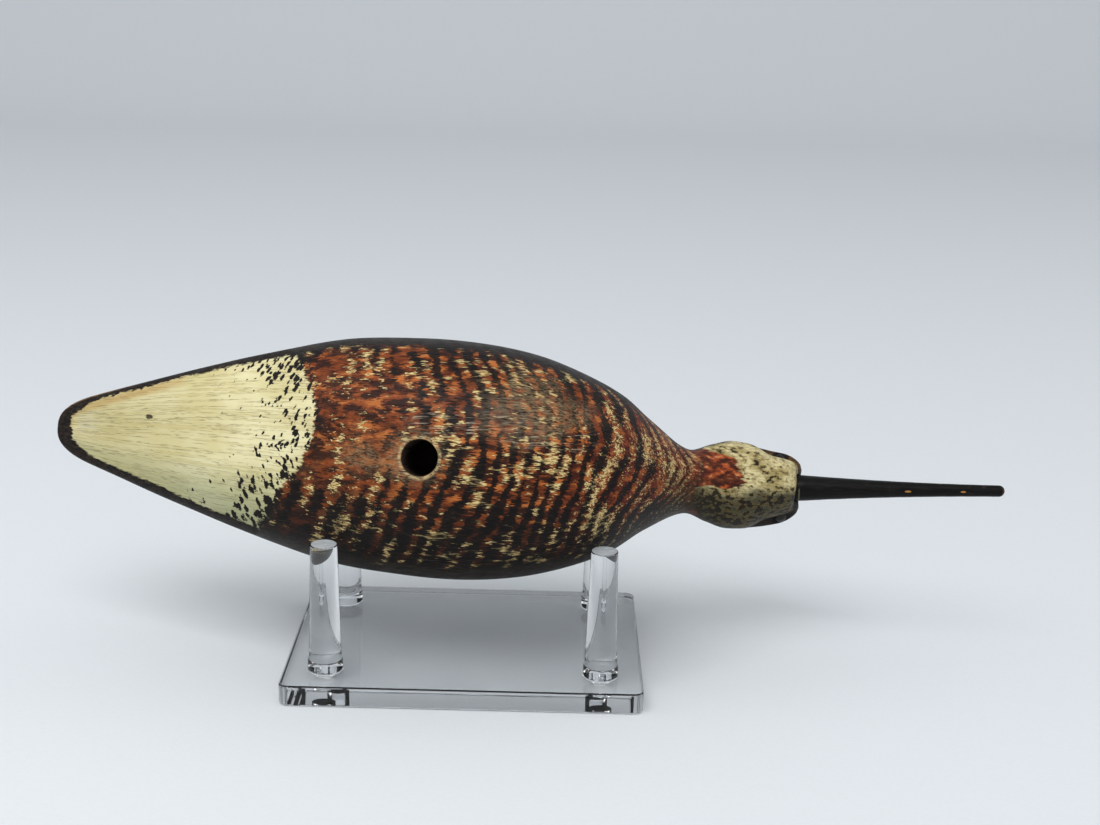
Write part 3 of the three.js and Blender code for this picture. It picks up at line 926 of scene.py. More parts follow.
# %% Belly
FIRST_BAR = 80
BARS_IN_A_MM, BARS_CLOSE_UP = 0.133, 0.00051
BAR_SWEEP, BAR_SWEEP_LEFT = 11.5, 5.5


def bar_rhythm(c):
    """Counts the bars from the tail: a whole number in the middle of each."""
    wander = (c.broad - 0.5) * 14 + (c.coarse - 0.5) * 5 + (c.streak - 0.5) * 3.4
    swept = c.x + wander + c.lateral * (c.lateral * BAR_SWEEP + BAR_SWEEP_LEFT) - FIRST_BAR
    return swept * (swept.most(0) * BARS_CLOSE_UP + BARS_IN_A_MM)


def rust_ground(c):
    mottle, glow = c.dragged(0.26, 0.42, 4, seed=17), c.lumps(0.13, 0.22, 2, seed=23)
    dull = c.x.falls(96, 126) * c.lateral.rises(-0.2, 0.15) * glow.rises(0.4, 0.6)
    return c.shop.coats(
        (46, 20, 10),
        ((122, 58, 24), mottle.rises(0.42, 0.6)),
        ((182, 106, 50), (mottle + glow * 0.7).rises(0.9, 1.05) * 0.8),
        ((104, 34, 18), c.x.rises(150, 200) * (1 - mottle) * 1.2),
        ((66, 40, 25), dull * 0.7),
        # Partly blacker paint, partly painted shade: near black towards the left side, which lies lowest.
        ((24, 11, 8), c.lateral.rises(0.25, 0.8) * 0.88))


def cream_dabs(c, rhythm):
    large, small = c.dragged(0.3, 0.7, 4, seed=29), c.dragged(0.6, 1.2, 3, seed=30)
    dab = large + (small - large) * c.x.rises(160, 195)
    columns = c.dragged(0.13, 0.075, 1, seed=31)
    between = 0.5 - rhythm.wave() * 0.5
    clumps = (columns - 0.5) * (0.75 - c.x.rises(165, 190) * 0.35)
    wanted = dab + between * 0.12 + clumps + (c.bristle - 0.5) * 0.3 + c.x.rises(110, 150) * 0.02
    few = c.x.falls(104, 122) * c.lateral.near(-0.2, 0.6) * 0.09 + c.lateral.rises(0.2, 0.7) * 0.02
    return (wanted - few + c.x.rises(165, 195) * 0.035).rises(0.68, 0.76)


def black_bars(c, rhythm):
    gaps, ragged = c.dragged(0.22, 0.12, 2, seed=37), c.dragged(0.34, 0.6, 3, seed=39)
    side = c.lateral.rises(0, 0.7) * 0.25 + c.lateral.falls(-0.95, -0.55) * 0.14
    faint = c.x.falls(100, 122) * c.lateral.near(-0.2, 0.7) * 0.32 + c.x.rises(170, 205) * 0.03
    beat = (rhythm.wave() * 0.5 + 0.5) * (c.x.rises(95, 130) * 0.26 - c.x.rises(165, 195) * 0.1 + 0.3)
    wanted = beat + (gaps - 0.5) * 1.15 + (ragged - 0.5) * 0.6 + (c.bristle - 0.5) * 0.25 + side - faint
    return wanted.rises(0.3, 0.41)


def belly(c):
    coats, rhythm = c.shop.coats, bar_rhythm(c)
    dabs, bars = cream_dabs(c, rhythm), black_bars(c, rhythm)
    cream = coats((150, 112, 60), ((220, 202, 142), (c.bristle + c.x.rises(160, 200) * 0.06).rises(0.4, 0.6)))
    black = coats((7, 6, 6), ((32, 24, 17), c.streak.rises(0.5, 0.78)))
    colour = coats(rust_ground(c), (black, bars * 0.96), (cream, dabs * (1 - bars * 0.6) * 0.9))
    return colour, dabs, bars


# %% [markdown]
# ## The pale tail
#
# Under the tail the bird is cream, and fine dark cracks follow the grain. Black dabs thicken towards the
# rust. The painter stopped the rust in a ragged curve that runs further back on the left side.

# %% Tail
RUST_END = 87.1


def tail_reach(c):
    """How far a point lies on the tail's side of the ragged end of the rust, in millimetres."""
    across = c.lateral + 0.1
    end = RUST_END - across.most(0) * 18.3 - across.least(0) ** 2 * 15.7
    return end - c.x + (c.streak - 0.5) * 4 + (c.coarse - 0.5) * 5


def tail_cream(c):
    lines = c.flat(c.x, c.y * 0.5 + c.lateral * 11)
    grain = c.shop.noise(lines, (0.04, 1.5, 1), 3, seed=41)
    fine = c.shop.noise(lines, (0.3, 3, 1), 3, seed=43)
    stain = c.lumps(0.05, 0.09, 2, seed=47)
    cracks = (grain - 0.5).near(0.02, 0.034) * fine.rises(0.42, 0.6)
    rim_stain = c.edge.near(3.6, 2.6) * c.x.falls(34, 66) * c.lateral.falls(-0.2, 0.2)
    colour = c.shop.coats(
        (204, 194, 144),
        ((219, 211, 168), stain.rises(0.35, 0.65)),
        ((186, 170, 114), grain.rises(0.5, 0.66) * 0.5),
        ((136, 110, 62), cracks * 0.6),
        # Painted shade: a cool grey green towards the tail's left side, which lies lowest.
        ((136, 146, 116), c.lateral.rises(0.1, 0.75) * 0.6),
        ((164, 152, 100), c.x.falls(18, 62) * 0.45),
        ((176, 138, 74), rim_stain * stain.rises(0.25, 0.55) * 0.6))
    return colour, cracks, grain


def tail_flecks(c, reach):
    """Black dabs on the cream, which lean outwards: small on the right side, longer on the left."""
    leaning = c.flat(c.x - abs(c.y) * 0.35, c.y)
    small = c.shop.cells(leaning, (0.72, 0.44, 1), seed=53)
    long = c.shop.cells(leaning, (0.56, 0.29, 1), seed=61)
    frayed = c.shop.noise(leaning, (1, 0.9, 1), 3, seed=63)
    clusters = c.lumps(0.16, 0.12, 1, seed=59)
    dab = small + (long - small) * c.lateral.rises(0.15, 0.5)
    dab = dab + (frayed - 0.5) * 0.8 + (c.bristle - 0.5) * 0.35
    thin = reach.rises(0, 26) * 0.42 + c.lateral.near(0.05, 0.4) * 0.1 - abs(c.lateral).rises(0.3, 0.6) * 0.05
    return (clusters * 0.9 + 0.03 - thin - dab).rises(-0.05, 0.05) * reach.falls(24, 32)


# %% [markdown]
# ## Head and throat
#
# The head is cream as well, thinly speckled with olive brown, over a throat of red and orange. The crown
# and the nape are dark like the back, and a dark stripe runs through each eye. Painted shade darkens the
# head towards its left side, which lies lowest, and a ring of painted shade lies round each eye.

# %% Head
TONGUE_START = 203
EYE_SHADE_INSIDE, EYE_SHADE_OUTSIDE = 3.2, 3.9


def head_cream(c):
    speckle = c.lumps(0.55, 0.75, 4, seed=67)
    smear = c.lumps(0.2, 0.26, 2, seed=71)
    fine = c.lumps(0.8, 1.5, 3, seed=68)
    # Painted shade: dark grey green towards the head's left side, which lies lowest; spots thicken there too.
    shade = (c.lateral + (smear - 0.5) * 0.6).rises(0, 0.42)
    spots = speckle + shade * 0.14 - (smear - 0.5) * 0.35 + c.x.falls(206, 214) * 0.03
    colour = c.shop.coats(
        (162, 147, 97),
        ((210, 197, 148), smear.rises(0.36, 0.58)),
        ((138, 118, 70), fine.rises(0.48, 0.6) * 0.55),
        ((36, 44, 36), shade * 0.94),
        ((104, 86, 48), spots.rises(0.5, 0.6) * 0.6),
        ((26, 23, 17), spots.rises(0.6, 0.67) * 0.95))
    return colour, speckle


def head_reach(c):
    """How far a point lies in front of the throat's red, in millimetres. The red ends in a ragged tongue
    under the chin. Beside it, on both sides, the head's colour runs back to the neck."""
    tongue = (c.y + (c.coarse - 0.5) * 7).falls(0.5, 3.5) * c.y.rises(-11, -7)
    end = TONGUE_START + tongue * (15.3 + c.y * 0.63)
    return c.x - end + (c.streak - 0.5) * 6 + (c.coarse - 0.5) * 6 + (c.bristle - 0.5) * 3


def throat(c):
    mottle, clouds = c.lumps(0.32, 0.6, 4, seed=73), c.lumps(0.16, 0.26, 2, seed=74)
    return c.shop.coats(
        (76, 28, 16),
        ((166, 78, 36), mottle.rises(0.4, 0.6)),
        ((44, 22, 16), (clouds + (mottle - 0.5) * 0.5).falls(0.42, 0.54) * 0.75),
        ((82, 34, 26), c.x.falls(202, 213) * clouds.rises(0.3, 0.6) * 0.7),
        ((206, 158, 108), mottle.rises(0.6, 0.7) * 0.6))


def painted_eye_shade(c):
    """Painted shade in a ring round each eye, where the glass sits in its pocket, 1 in it."""
    def away(side):
        centre = eye_centre(side)
        return ((c.x - centre.x) ** 2 + (c.y - centre.y) ** 2 + (c.z - centre.z) ** 2) ** 0.5
    return (away(1).least(away(-1)) + (c.bristle - 0.5)).falls(EYE_SHADE_INSIDE, EYE_SHADE_OUTSIDE)


def eye_stripe(c):
    level = eye_level(Sections([CARVED_LENGTH - RIGHT_EYE_SETBACK]))[0]
    along = c.x.rises(220, 226) * c.x.falls(236.4, 237.3)
    return (c.z - level + (c.streak - 0.5) * 3).near(0.6, 4.2).rises(0.2, 0.6) * along


# %% [markdown]
# ## The dark back
#
# The photograph's side of the bird ends in a dark line along the edge, where the paint of the back comes
# round. The back itself is hidden, and it is kept plain: brown black, with faint buff feather edges over
# the wings. Each row of feather edges is a row of arcs, shifted by half a feather from the row before it.

# %% Back
FEATHER_LENGTH = 9
FEATHER_WIDTH = 8


def feather_edges(c):
    row = (c.x + c.y * c.y * 0.012 + (c.coarse - 0.5) * 4) / FEATHER_LENGTH
    column = c.y / FEATHER_WIDTH + row.math("FLOOR", row) * 0.5
    off_middle = column.math("PINGPONG", column, 0.5) * 2
    to_arc = row.math("FRACT", row) - off_middle * off_middle * 0.5 - 0.06
    line = abs(to_arc).falls(0.03, 0.12) * c.bristle.rises(0.35, 0.6)
    return line * c.x.rises(52, 70) * c.x.falls(165, 185)


def dark_back(c):
    behind = c.inset.falls(-4, -1.5)
    quills = (c.streak - 0.5).near(0.08, 0.05) * c.x.falls(55, 75)
    edges = feather_edges(c).most(quills) * behind
    forehead = c.x.rises(223, 229) * c.y.falls(-4, 1) * c.bristle.rises(0.4, 0.6) * 0.5
    return c.shop.coats(
        (16, 13, 12),
        ((46, 36, 28), c.streak.rises(0.35, 0.7)),
        ((142, 102, 54), forehead),
        ((128, 104, 72), edges * 0.5))


def back_reach(c):
    """1 on the back and along the painted edge, 0 on the belly."""
    left = c.lateral.rises(-0.1, 0.1)
    slim = c.x.falls(150, 200)
    low = left * (c.x.near(36, 16) * 0.4 + 1)
    width = 0.4 + slim * (1.9 + c.x.rises(25, 90) * 1.1 + low) + c.x.falls(4, 14) * 2.2
    ragged = (c.streak - 0.5) * (2.2 + c.x.rises(70, 100) * 2.5) + (c.coarse - 0.5) * 1.2
    return (c.edge - width + ragged).falls(-0.35, 0.35)


# %% [markdown]
# ## Wear and painted sheen
#
# Years of handling have rubbed the belly glossier on its highest part and round the hole. There the
# colour is a lighter, greyer brown: partly rubbed paint, and partly a painted sheen of the lamp above.
# Handling has also scratched the belly lengthwise, chipped a little paint beside the hole, and bared the
# wood along the right edge of the tail.

# %% Wear and painted sheen
HIGHEST_PLACE, BESIDE_HOLE = 152, 104
SPOT_FORWARD, SPOT_RIGHT = 32, 5.5
PATCH_FORWARD, PATCH_RIGHT = 11, 2


# Rubbed paint, and a painted sheen of the lamp above on the belly's highest part, in one mask.
def rubbed_and_sheen(c):
    high = (c.x - HIGHEST_PLACE).near(0, 26) * c.lateral.near(-0.5, 0.5)
    beside = (c.x - BESIDE_HOLE).near(0, 20) * c.lateral.near(0.05, 0.42)
    round_hole = c.from_hole.falls(5.5, 12) * 0.6
    worn = high * 1.2 + beside * 0.7 + round_hole + (c.coarse - 0.5) + (c.bristle - 0.5) * 0.8
    return worn.rises(0.2, 1.1) * c.under


def scratches(c):
    """Thin pale lines along the bird, a few together."""
    tilted = c.flat(c.x, c.y + c.x * 0.12)
    lines = c.shop.noise(tilted, (0.045, 1.3, 1), 1, seed=79)
    broken = c.shop.noise(tilted, (0.3, 0.8, 1), 2, seed=83)
    where = (c.x - 154).near(0, 22) * c.lateral.near(-0.3, 0.2)
    where = where.most((c.x - 126).near(0, 16) * c.lateral.near(-0.28, 0.14))
    return (lines - 0.5).near(0.04, 0.035) * broken.rises(0.42, 0.6) * where.rises(0.05, 0.35) * c.under


def chips(c):
    """Small dark flakes of lost paint to the tail's side of the hole."""
    flakes = c.shop.cells(c.place, (0.34, 0.55, 0.55), seed=89) + (c.bristle - 0.5) * 0.5
    return flakes.falls(0.13, 0.2) * (c.x - 100).near(0, 13) * c.lateral.near(0, 0.4) * c.under


def tail_marks(c):
    """A dark spot under the tail, where a knot or a shot shows through, and a grey patch near the tip."""
    spot = ((c.x - SPOT_FORWARD) / 1.3) ** 2 + ((c.y + SPOT_RIGHT) / 0.8) ** 2 + (c.bristle - 0.5) * 2
    patch = (c.x - PATCH_FORWARD).near(0, 6) * (c.y + PATCH_RIGHT).near(0, 5)
    patch = patch * (c.streak + c.bristle * 0.5).rises(0.6, 0.9)
    return spot.falls(0.5, 1.2) * c.under, patch * c.under


def bare_tail_edge(c):
    """Wood worn bare along the outermost edge of the tail, mostly on the right side."""
    strip = abs(c.inset).falls(0.3, 1.0) * c.inset.rises(-0.7, -0.2) * c.x.falls(8, 34)
    return strip * (c.lateral.falls(-0.4, 0.2) * 0.8 + 0.2) * (c.streak + c.bristle * 0.6).rises(0.66, 0.86)


# %% [markdown]
# ## The finished paint
#
# Here the layers meet. The masks that chose the colours also set the gloss and a shallow relief: cracks
# sink into the cream, dabs stand on the rust, and the rubbed wood shines.

# %% Painted wood
def painted_wood():
    shop = PaintShop("painted wood")
    c = Canvas(shop)
    colour, dabs, bars = belly(c)
    head, speckle = head_cream(c)
    cream, cracks, grain = tail_cream(c)
    on_head = head_reach(c).rises(-0.8, 1.2)
    reach = tail_reach(c)
    on_tail = reach.rises(-0.5, 0.5)
    flecks = tail_flecks(c, reach) * reach.rises(-5, -1) * (1 - on_head)

    # worn is both rubbed paint and painted sheen.
    worn = rubbed_and_sheen(c) * c.from_hole.rises(5.4, 6)
    wear_and_sheen_hairs = (c.streak * 0.4 + c.bristle * 0.6).rises(0.36, 0.62)
    # Painted shade: dark olive streaks on the neck's lower, left side, where the breast narrows into it.
    painted_neck_shade = c.x.near(200, 14) * c.lateral.rises(-0.3, 0.2) * (c.streak + c.bristle).rises(0.75, 1.1)
    spot, patch = tail_marks(c)
    lines, flakes = scratches(c), chips(c)
    colour = shop.coats(
        colour,
        # A lighter, greyer brown: rubbed paint, and painted sheen on the belly's highest part.
        ((156, 132, 98), worn * wear_and_sheen_hairs * 0.55),
        (throat(c), (c.x + (c.streak - 0.5) * 12).rises(196, 206)),
        (head, on_head),
        # Painted shade on the neck's lower side.
        ((42, 36, 23), painted_neck_shade * 0.85),
        (cream, on_tail),
        ((22, 19, 16), flecks),
        (dark_back(c), back_reach(c).most(eye_stripe(c) * 0.9)),
        # Painted shade round each eye.
        ((9, 8, 8), painted_eye_shade(c) * 0.95),
        ((158, 122, 80), bare_tail_edge(c) * 0.8),
        ((186, 182, 158), patch * 0.8),
        ((34, 26, 16), spot * 0.9),
        ((206, 188, 160), lines * 0.5),
        ((26, 18, 12), flakes * 0.85),
        ((196, 172, 126), c.from_hole.near(6, 0.9) * c.bristle.rises(0.3, 0.6) * 0.8))

    rough = 0.46 + on_tail * 0.16 - bars * 0.04 - worn * 0.14 + (c.bristle - 0.5) * 0.2
    height = c.streak * 0.6 + c.bristle * 0.35 + (dabs + flecks) * 0.25 - cracks * 0.9 - flakes * 0.8
    height = height + grain * on_tail * 0.7 - lines * 0.3 + speckle * on_head * 0.4
    return shop.finish(Base_Color=colour, Roughness=rough, Normal=shop.bump(height, 0.00012),
                       Specular_IOR_Level=0.14)


paint = painted_wood()
carving.data.materials[0] = paint
print("painted wood:", len(paint.node_tree.nodes), "nodes; slots:", [m.name for m in carving.data.materials])

# %% [markdown]
# ## The bill
#
# The bill is a separate stick of hard wood, turned or whittled round, with a tenon that goes into the
# head. It tapers fast at first and then slowly, and ends in a small round tip. It is black and satin. On
# the side that faces the camera the paint is chipped to pale wood in two places.

# %% The bill's shape
BILL_LENGTH = 64.3
BILL_SHOULDER = 3.2
BILL_MIDDLE_DIAMETER = 5.15
BILL_TIP_DIAMETER = 3.8
BILL_SHAVE = 0.06
TENON_RADIUS, TENON_LENGTH = 2.95, 10
FLATS, FLAT_DEPTH, FLAT_TWIST = 9, 0.018, 0.05
RIPPLE, RIPPLE_DEPTH = 0.9, 0.012
PLAIN_AT_ROOT = 6


def bill_radius(distance):
    along = distance / BILL_LENGTH
    sag = 4 * along * (1 - along) * (BILL_MIDDLE_DIAMETER - (BILL_BASE_DIAMETER + BILL_TIP_DIAMETER) / 2)
    return (mix(BILL_BASE_DIAMETER, BILL_TIP_DIAMETER, along) + sag) / 2


def bill_profile():
    """[radius, distance] from the end of the tenon to the tip."""
    tip = BILL_TIP_DIAMETER / 2
    base = bill_radius(0) - BILL_SHAVE
    profile = [(0.2, -TENON_LENGTH), (TENON_RADIUS, -TENON_LENGTH), (TENON_RADIUS, -BILL_SHOULDER),
               (base - 0.1, -BILL_SHOULDER), (base, -BILL_SHOULDER + 0.2)]
    profile += [(bill_radius(d) - BILL_SHAVE, d) for d in np.linspace(0.3, BILL_LENGTH - tip, 60)]
    last = profile[-1][0]
    profile += [(last * math.cos(a), BILL_LENGTH - tip + (tip - BILL_SHAVE) * math.sin(a))
                for a in np.linspace(0.2, math.pi / 2 - 0.05, 9)]
    return profile


def whittle(points):
    """Shallow lengthwise flats that a knife left, at most 0.05 mm deep."""
    away = points - np.array(bill_root)
    axis = np.array(bill_line.normalized())
    distance = away @ axis
    spoke = away - np.outer(distance, axis)
    turn = np.arctan2(spoke[:, 2], spoke[:, 1])
    flat = FLAT_DEPTH * (1 + np.cos(FLATS * turn + distance * FLAT_TWIST)) * smooth(distance / PLAIN_AT_ROOT)
    flat = flat + RIPPLE_DEPTH * (1 + np.sin(distance * RIPPLE + 2 * turn)) * smooth(distance / PLAIN_AT_ROOT)
    reach = np.maximum(np.linalg.norm(spoke, axis=1), 0.4)
    return points - spoke * (flat / reach)[:, None]


bill = turned("long_bill", bill_profile(), bill_root, bill_line, around=48)
whittled = on_stand(whittle(in_bird(coordinates(bill))))
bill.data.vertices.foreach_set("co", whittled.ravel())
bill.data.update()
bill.data.set_sharp_from_angle(angle=math.radians(50))
print("bill:", len(bill.data.polygons), "faces")


# %% The bill's paint
CHIPS = ((33.4, 1.1), (50.9, 0.9))
CHIP_HEIGHT = 0.42


def place_on_bill(shop):
    """Millimetres from the root along the bill, to its side and up, as the bird lies on the stand."""
    root, tip = (BIRD_TO_STAND @ (bill_root + bill_line.normalized() * d) for d in (0, BILL_LENGTH))
    along = (tip - root).normalized()
    beside = Vector((0, 0, 1)).cross(along).normalized()
    turn = Matrix((along, beside, along.cross(beside)))
    return shop.turned_place(turn, -(turn @ root) / MM)


def bill_paint():
    shop = PaintShop("bill paint")
    place = place_on_bill(shop)
    along, beside, above = shop.parts(place)
    streak = shop.noise(place, (0.16, 2.6, 2.6), 3, seed=5)
    mottle = shop.noise(place, (0.6, 0.9, 0.9), 3, seed=9)
    ragged = (streak - 0.5) * 0.6
    bare = along.falls(-4.4, -4.2)
    for distance, reach in CHIPS:
        chip = ((along - distance) / reach) ** 2 + ((above - CHIP_HEIGHT * 0.4) / (CHIP_HEIGHT * 0.8)) ** 2
        bare = bare.most((chip + ragged).falls(0.6, 1.1) * beside.falls(-0.3, 0.3))
    tip = along.rises(BILL_LENGTH - 1.4, BILL_LENGTH - 0.2) * (mottle + streak).rises(0.85, 1.15)
    seat_line = (along + streak * 0.6).near(-0.9, 0.3).rises(0.1, 0.5) * above.falls(0.5, 1.5)
    colour = shop.coats(
        (8, 8, 8),
        ((26, 22, 18), streak.rises(0.45, 0.7)),
        ((70, 52, 36), (mottle + along * 0.0012).rises(0.68, 0.78) * 0.4),
        ((112, 70, 36), tip * 0.8),
        ((118, 112, 84), seat_line * 0.7),
        ((158, 112, 56), bare))
    rough = 0.36 + (streak - 0.5) * 0.22 + bare * 0.35 + mottle.rises(0.5, 0.7) * 0.08
    normal = shop.bump(streak * 0.5 + mottle * 0.4 - bare * 0.7, 0.00007)
    return shop.finish(Base_Color=colour, Roughness=rough, Normal=normal, Specular_IOR_Level=0.12)


bill.data.materials.append(bill_paint())
print("bill paint:", len(bill.data.materials[0].node_tree.nodes), "nodes")

# %% [markdown]
# ## The eyes
#
# The eyes are dark glass, set into the cheeks. Each is a dome with a flatter back, not a full ball. The
# glass is nearly black, with a very dark brown ring near its rim, and it is smooth enough for a sharp light.

# %% Eyes
def eye_profile():
    """[radius, distance] from the flatter back of an eye to the middle of its dome."""
    radius = EYE_DIAMETER / 2
    dome = [(radius * math.cos(a), radius * math.sin(a)) for a in np.linspace(0, math.pi / 2 - 0.04, 16)]
    back = [(0.3, -1.5), (1.6, -1.35), (2.3, -0.9), (radius - 0.05, -0.35)]
    return back + dome


def eye_glass(name, centre, outward_line):
    shop = PaintShop(name)
    place = shop.place()
    from_centre = shop.vector("ADD", place, tuple(-centre)).outputs[0]
    dots = shop.vector("DOT_PRODUCT", from_centre, tuple(outward_line))
    depth = Mask(shop, dots.outputs["Value"]) / MM
    specks = shop.noise(place, (1500, 1500, 1500), 3, seed=2)
    iris = depth.falls(1.5, 2.3) * specks.rises(0.3, 0.6)
    colour = shop.coats((6, 5, 5), ((30, 17, 9), iris))
    rough = 0.07 + specks.rises(0.6, 0.75) * 0.12
    return shop.finish(Base_Color=colour, Roughness=rough, Specular_IOR_Level=0.3)


def make_eye(name, side):
    centre = eye_centre(side)
    made = turned(name, eye_profile(), centre, (0, side, 0), around=40)
    made.data.set_sharp_from_angle(angle=math.radians(40))
    out = (BIRD_TO_STAND.to_3x3() @ Vector((0, side, 0))).normalized()
    made.data.materials.append(eye_glass(name + " glass", BIRD_TO_STAND @ centre, out))
    return made


eyes = {"eye_left": make_eye("left_eye", 1), "eye_right": make_eye("right_eye", -1)}
print("eyes at, mm:", [tuple(round(v / MM, 1) for v in BIRD_TO_STAND @ eye_centre(side)) for side in (1, -1)])

# %% [markdown]
# ## The clear plate
#
# The stand's plate is a quarter inch of acrylic with rounded corners and polished edges. Most of what the
# eye sees of such a plate is at its edges, so their small bevels are made too. The plate is an outline
# lifted through a few levels, with holes cut in for the pegs' stubs.

# %% The plate's shape
PLATE_LENGTH = 109
PLATE_WIDTH = 79
PLATE_THICKNESS = 6.35
PLATE_CORNER = 3
PLATE_BEVEL = 0.5
PEG_INSET = 12.75
STUB_HOLE_DIAMETER = 7.1
STUB_HOLE_DEPTH = 4.05
CORNER_STEPS = 8


def plate_outline(inset):
    """A rounded rectangle, smaller by inset all round."""
    radius = PLATE_CORNER - inset
    points = []
    for quarter, (sx, sy) in enumerate(((1, 1), (-1, 1), (-1, -1), (1, -1))):
        cx, cy = sx * (PLATE_LENGTH / 2 - PLATE_CORNER), sy * (PLATE_WIDTH / 2 - PLATE_CORNER)
        for k in range(CORNER_STEPS + 1):
            angle = math.pi / 2 * (quarter + k / CORNER_STEPS)
            points.append((cx + radius * math.cos(angle), cy + radius * math.sin(angle)))
    return points


def make_plate():
    """The edge is rounded a little, as a flame or a buffing wheel leaves it."""
    curve = [(PLATE_BEVEL * (1 - math.sin(a)), PLATE_BEVEL * (1 - math.cos(a)))
             for a in np.linspace(0, math.pi / 2, 5)]
    levels = curve + [(inset, PLATE_THICKNESS - z) for inset, z in reversed(curve)]
    points = [(x * MM, y * MM, z * MM) for inset, z in levels for x, y in plate_outline(inset)]
    around = 4 * (CORNER_STEPS + 1)
    faces = side_faces(len(levels), around)
    faces += [tuple(reversed(range(around))), tuple(range(len(points) - around, len(points)))]
    return face_outwards(mesh_object("clear_plate", points, faces))


def peg_places():
    x, y = PLATE_LENGTH / 2 - PEG_INSET, PLATE_WIDTH / 2 - PEG_INSET
    return [(sx * x, sy * y) for sx in (-1, 1) for sy in (-1, 1)]


def stub_hole(x, y):
    """A round cutter that stands in the plate from the bottom of a stub's hole up."""
    work = bmesh.new()
    depth = STUB_HOLE_DEPTH + 1
    middle = PLATE_THICKNESS - STUB_HOLE_DEPTH + depth / 2
    radius = STUB_HOLE_DIAMETER / 2 * MM
    bmesh.ops.create_cone(work, cap_ends=True, segments=48, radius1=radius, radius2=radius, depth=depth * MM,
                          matrix=Matrix.Translation(Vector((x, y, middle)) * MM))
    mesh = bpy.data.meshes.new("stub hole")
    work.to_mesh(mesh)
    work.free()
    return in_scene("stub hole", mesh)


plate = cut_with(make_plate(), [stub_hole(x, y) for x, y in peg_places()])
flat_faces(plate)
print("plate, mm:", [round(v / MM, 2) for v in plate.dimensions], len(plate.data.polygons), "faces")

# %% [markdown]
# ## The pegs
#
# Four equal pegs stand on the plate, so Geometry Nodes make them. One peg is a straight line of points.
# Each point carries its girth as a number, and a circle swept along the line takes its size from it:
# that is how a turned profile is written as a curve. A grid of two by two points then places the pegs.
# The tree ends in Realize Instances, because an exported model keeps real faces only.

# %% The tree of nodes for the pegs
PEG_HEIGHT = 40.5
PEG_FOOT_DIAMETER = 10.2
PEG_TOP_DIAMETER = 8.1
PEG_TOP_BEVEL = 0.25
COLLAR_DIAMETER = 10.8
COLLAR_HEIGHT = 3.9
COLLAR_BEVEL = 0.3
STUB_DIAMETER = 7
STUB_LENGTH = 4
COLLAR_LIFT = 0.02  # keeps the collar off the plate, so that the two are not one surface


def peg_profile():
    """[girth, height over the plate], from the bottom of the stub to the top."""
    def girth(height):
        return mix(PEG_FOOT_DIAMETER, PEG_TOP_DIAMETER, height / PEG_HEIGHT) / 2
    stub, collar = STUB_DIAMETER / 2, COLLAR_DIAMETER / 2
    lower = [(stub - 0.2, -STUB_LENGTH), (stub, -STUB_LENGTH + 0.2), (stub, COLLAR_LIFT),
             (collar - COLLAR_BEVEL, COLLAR_LIFT)]
    bevel = [(collar - COLLAR_BEVEL * (1 - math.sin(a)), COLLAR_LIFT + COLLAR_BEVEL * (1 - math.cos(a)))
             for a in np.linspace(0.3, math.pi / 2, 4)]
    ease = [(collar - 0.04, 2), (collar - 0.12, COLLAR_HEIGHT - 0.5), (collar - 0.22, COLLAR_HEIGHT - 0.18),
            (girth(COLLAR_HEIGHT) + 0.05, COLLAR_HEIGHT), (girth(COLLAR_HEIGHT + 0.4), COLLAR_HEIGHT + 0.4)]
    shaft = [(girth(h), h) for h in (*np.linspace(8, PEG_HEIGHT - 1, 7), PEG_HEIGHT - PEG_TOP_BEVEL)]
    top = [(girth(PEG_HEIGHT) - PEG_TOP_BEVEL * 0.4, PEG_HEIGHT - PEG_TOP_BEVEL * 0.3),
           (girth(PEG_HEIGHT) - PEG_TOP_BEVEL, PEG_HEIGHT)]
    return lower + bevel + ease + shaft + top


def profile_object(profile):
    """The profile as a line of points that carry their girth."""
    mesh = bpy.data.meshes.new("peg profile")
    points = [(0, 0, height * MM) for _, height in profile]
    mesh.from_pydata(points, [(i, i + 1) for i in range(len(points) - 1)], [])
    girths = mesh.attributes.new("girth", "FLOAT", "POINT")
    girths.data.foreach_set("value", [g * MM for g, _ in profile])
    return in_scene("four_pegs", mesh)


class Tree(Nodes):
    """A Geometry Nodes tree with named inputs."""

    def __init__(self, name, inputs):
        super().__init__(bpy.data.node_groups.new(name, "GeometryNodeTree"))
        face = self.tree.interface
        face.new_socket("Geometry", in_out="INPUT", socket_type="NodeSocketGeometry")
        self.names = {n: face.new_socket(n, in_out="INPUT", socket_type=kind).identifier
                      for n, kind in inputs.items()}
        face.new_socket("Geometry", in_out="OUTPUT", socket_type="NodeSocketGeometry")
        self.given = self.node("NodeGroupInput").outputs

    def step(self, kind, **values):
        """Adds a node whose sockets are named with _ for a space, and gives its result."""
        named = {name.replace("_", " "): value for name, value in values.items()}
        return self.node(kind, {}, named).outputs[0]

    def apply(self, made, values):
        """Runs the tree on an object and leaves a plain mesh."""
        modifier = made.modifiers.new(self.tree.name, "NODES")
        modifier.node_group = self.tree
        for name, value in values.items():
            modifier[self.names[name]] = value
        return applied(made)


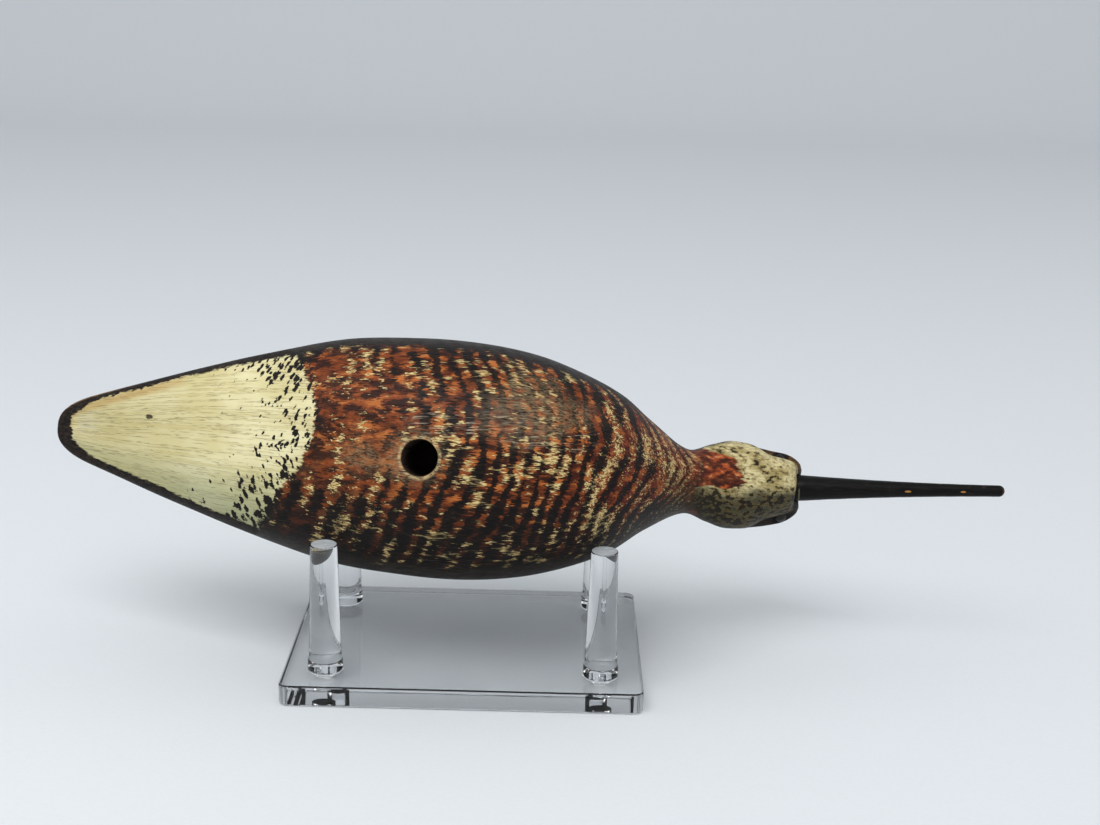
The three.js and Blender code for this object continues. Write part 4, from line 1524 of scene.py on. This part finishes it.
def pegs_tree():
    tree = Tree("pegs", {"Spacing X": "NodeSocketFloat", "Spacing Y": "NodeSocketFloat",
                         "Height": "NodeSocketFloat", "Sides": "NodeSocketInt",
                         "Material": "NodeSocketMaterial"})
    given = tree.given
    line = tree.step("GeometryNodeMeshToCurve", Mesh=given["Geometry"])
    girth = tree.step("GeometryNodeInputNamedAttribute", Name="girth")
    ring = tree.step("GeometryNodeCurvePrimitiveCircle", Resolution=given["Sides"], Radius=1)
    peg = tree.step("GeometryNodeCurveToMesh", Curve=line, Profile_Curve=ring, Scale=girth, Fill_Caps=True)
    grid = tree.step("GeometryNodeMeshGrid", Size_X=given["Spacing X"], Size_Y=given["Spacing Y"],
                     Vertices_X=2, Vertices_Y=2)
    lift = tree.step("ShaderNodeCombineXYZ", Z=given["Height"])
    placed = tree.step("GeometryNodeTransform", Geometry=grid, Translation=lift)
    four = tree.step("GeometryNodeInstanceOnPoints", Points=placed, Instance=peg)
    real = tree.step("GeometryNodeRealizeInstances", Geometry=four)
    finished = tree.step("GeometryNodeSetMaterial", Geometry=real, Material=given["Material"])
    tree.node("NodeGroupOutput", {}, {0: finished})
    return tree


# %% [markdown]
# ## Clear acrylic
#
# Acrylic is clear by transmission, with an index of 1.49. Its colour is nearly white, so what it shows is
# the light bent through it. Two things keep it from looking like a computer's glass: fine wipe marks that
# vary its gloss, and the sawn tops of the pegs, where the blade left the acrylic dull and a little milky.

# %% Acrylic
ACRYLIC_INDEX = 1.49


def clear_acrylic():
    shop = PaintShop("clear acrylic")
    place = shop.place()
    wipes = shop.noise(place, (60, 900, 900), 2, seed=1)
    haze = shop.noise(place, (45, 45, 45), 2, seed=6)
    colour = shop.coats((0.985, 0.992, 0.995, 1), ((0.955, 0.972, 0.98, 1), haze.rises(0.4, 0.7)))
    rough = 0.015 + wipes.rises(0.62, 0.75) * 0.05
    return shop.finish(Base_Color=colour, Roughness=rough, Normal=shop.bump(wipes, 0.000003),
                       IOR=ACRYLIC_INDEX, Transmission_Weight=1)


def sawn_acrylic():
    shop = PaintShop("sawn acrylic")
    saw = shop.noise(shop.place(), (300, 2600, 300), 2, seed=8)
    colour = shop.coats((0.72, 0.78, 0.82, 1), ((0.9, 0.93, 0.95, 1), saw.rises(0.4, 0.6)))
    return shop.finish(Base_Color=colour, Roughness=0.14 + saw * 0.2, Normal=shop.bump(saw, 0.00002),
                       IOR=ACRYLIC_INDEX, Transmission_Weight=0.5)


acrylic = clear_acrylic()
plate.data.materials.clear()
plate.data.materials.append(acrylic)
pegs = pegs_tree().apply(profile_object(peg_profile()), {
    "Spacing X": (PLATE_LENGTH - 2 * PEG_INSET) * MM,
    "Spacing Y": (PLATE_WIDTH - 2 * PEG_INSET) * MM,
    "Height": PLATE_THICKNESS * MM,
    "Sides": 48,
    "Material": acrylic,
})
face_outwards(pegs)
flat_faces(pegs)
pegs.data.materials.append(sawn_acrylic())
for face in pegs.data.polygons:
    if face.normal.z > LEVEL and face.center.z > PEG_HEIGHT * MM:
        face.material_index = len(pegs.data.materials) - 1
print("pegs, mm:", [round(v / MM, 2) for v in pegs.dimensions], len(pegs.data.polygons), "faces")

# %% [markdown]
# ## Onto the frame
#
# Every piece is tied to the one body of the object and takes the place of its imported solid.

# %% Finish
carving.name = "carved_body"
FITTED = (
    (carving, "painted_wood", ("decoy",)),
    (bill, "bill_paint", ("bill",)),
    (eyes["eye_left"], "eye_glass", ("eye_left",)),
    (eyes["eye_right"], "eye_glass", ("eye_right",)),
    (plate, "clear_acrylic", ("stand_plate",)),
    (pegs, "clear_acrylic", ("peg_front_left", "peg_front_right", "peg_back_left", "peg_back_right")),
)
for piece, slot, nodes in FITTED:
    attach(piece, "root")
    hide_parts(*nodes)
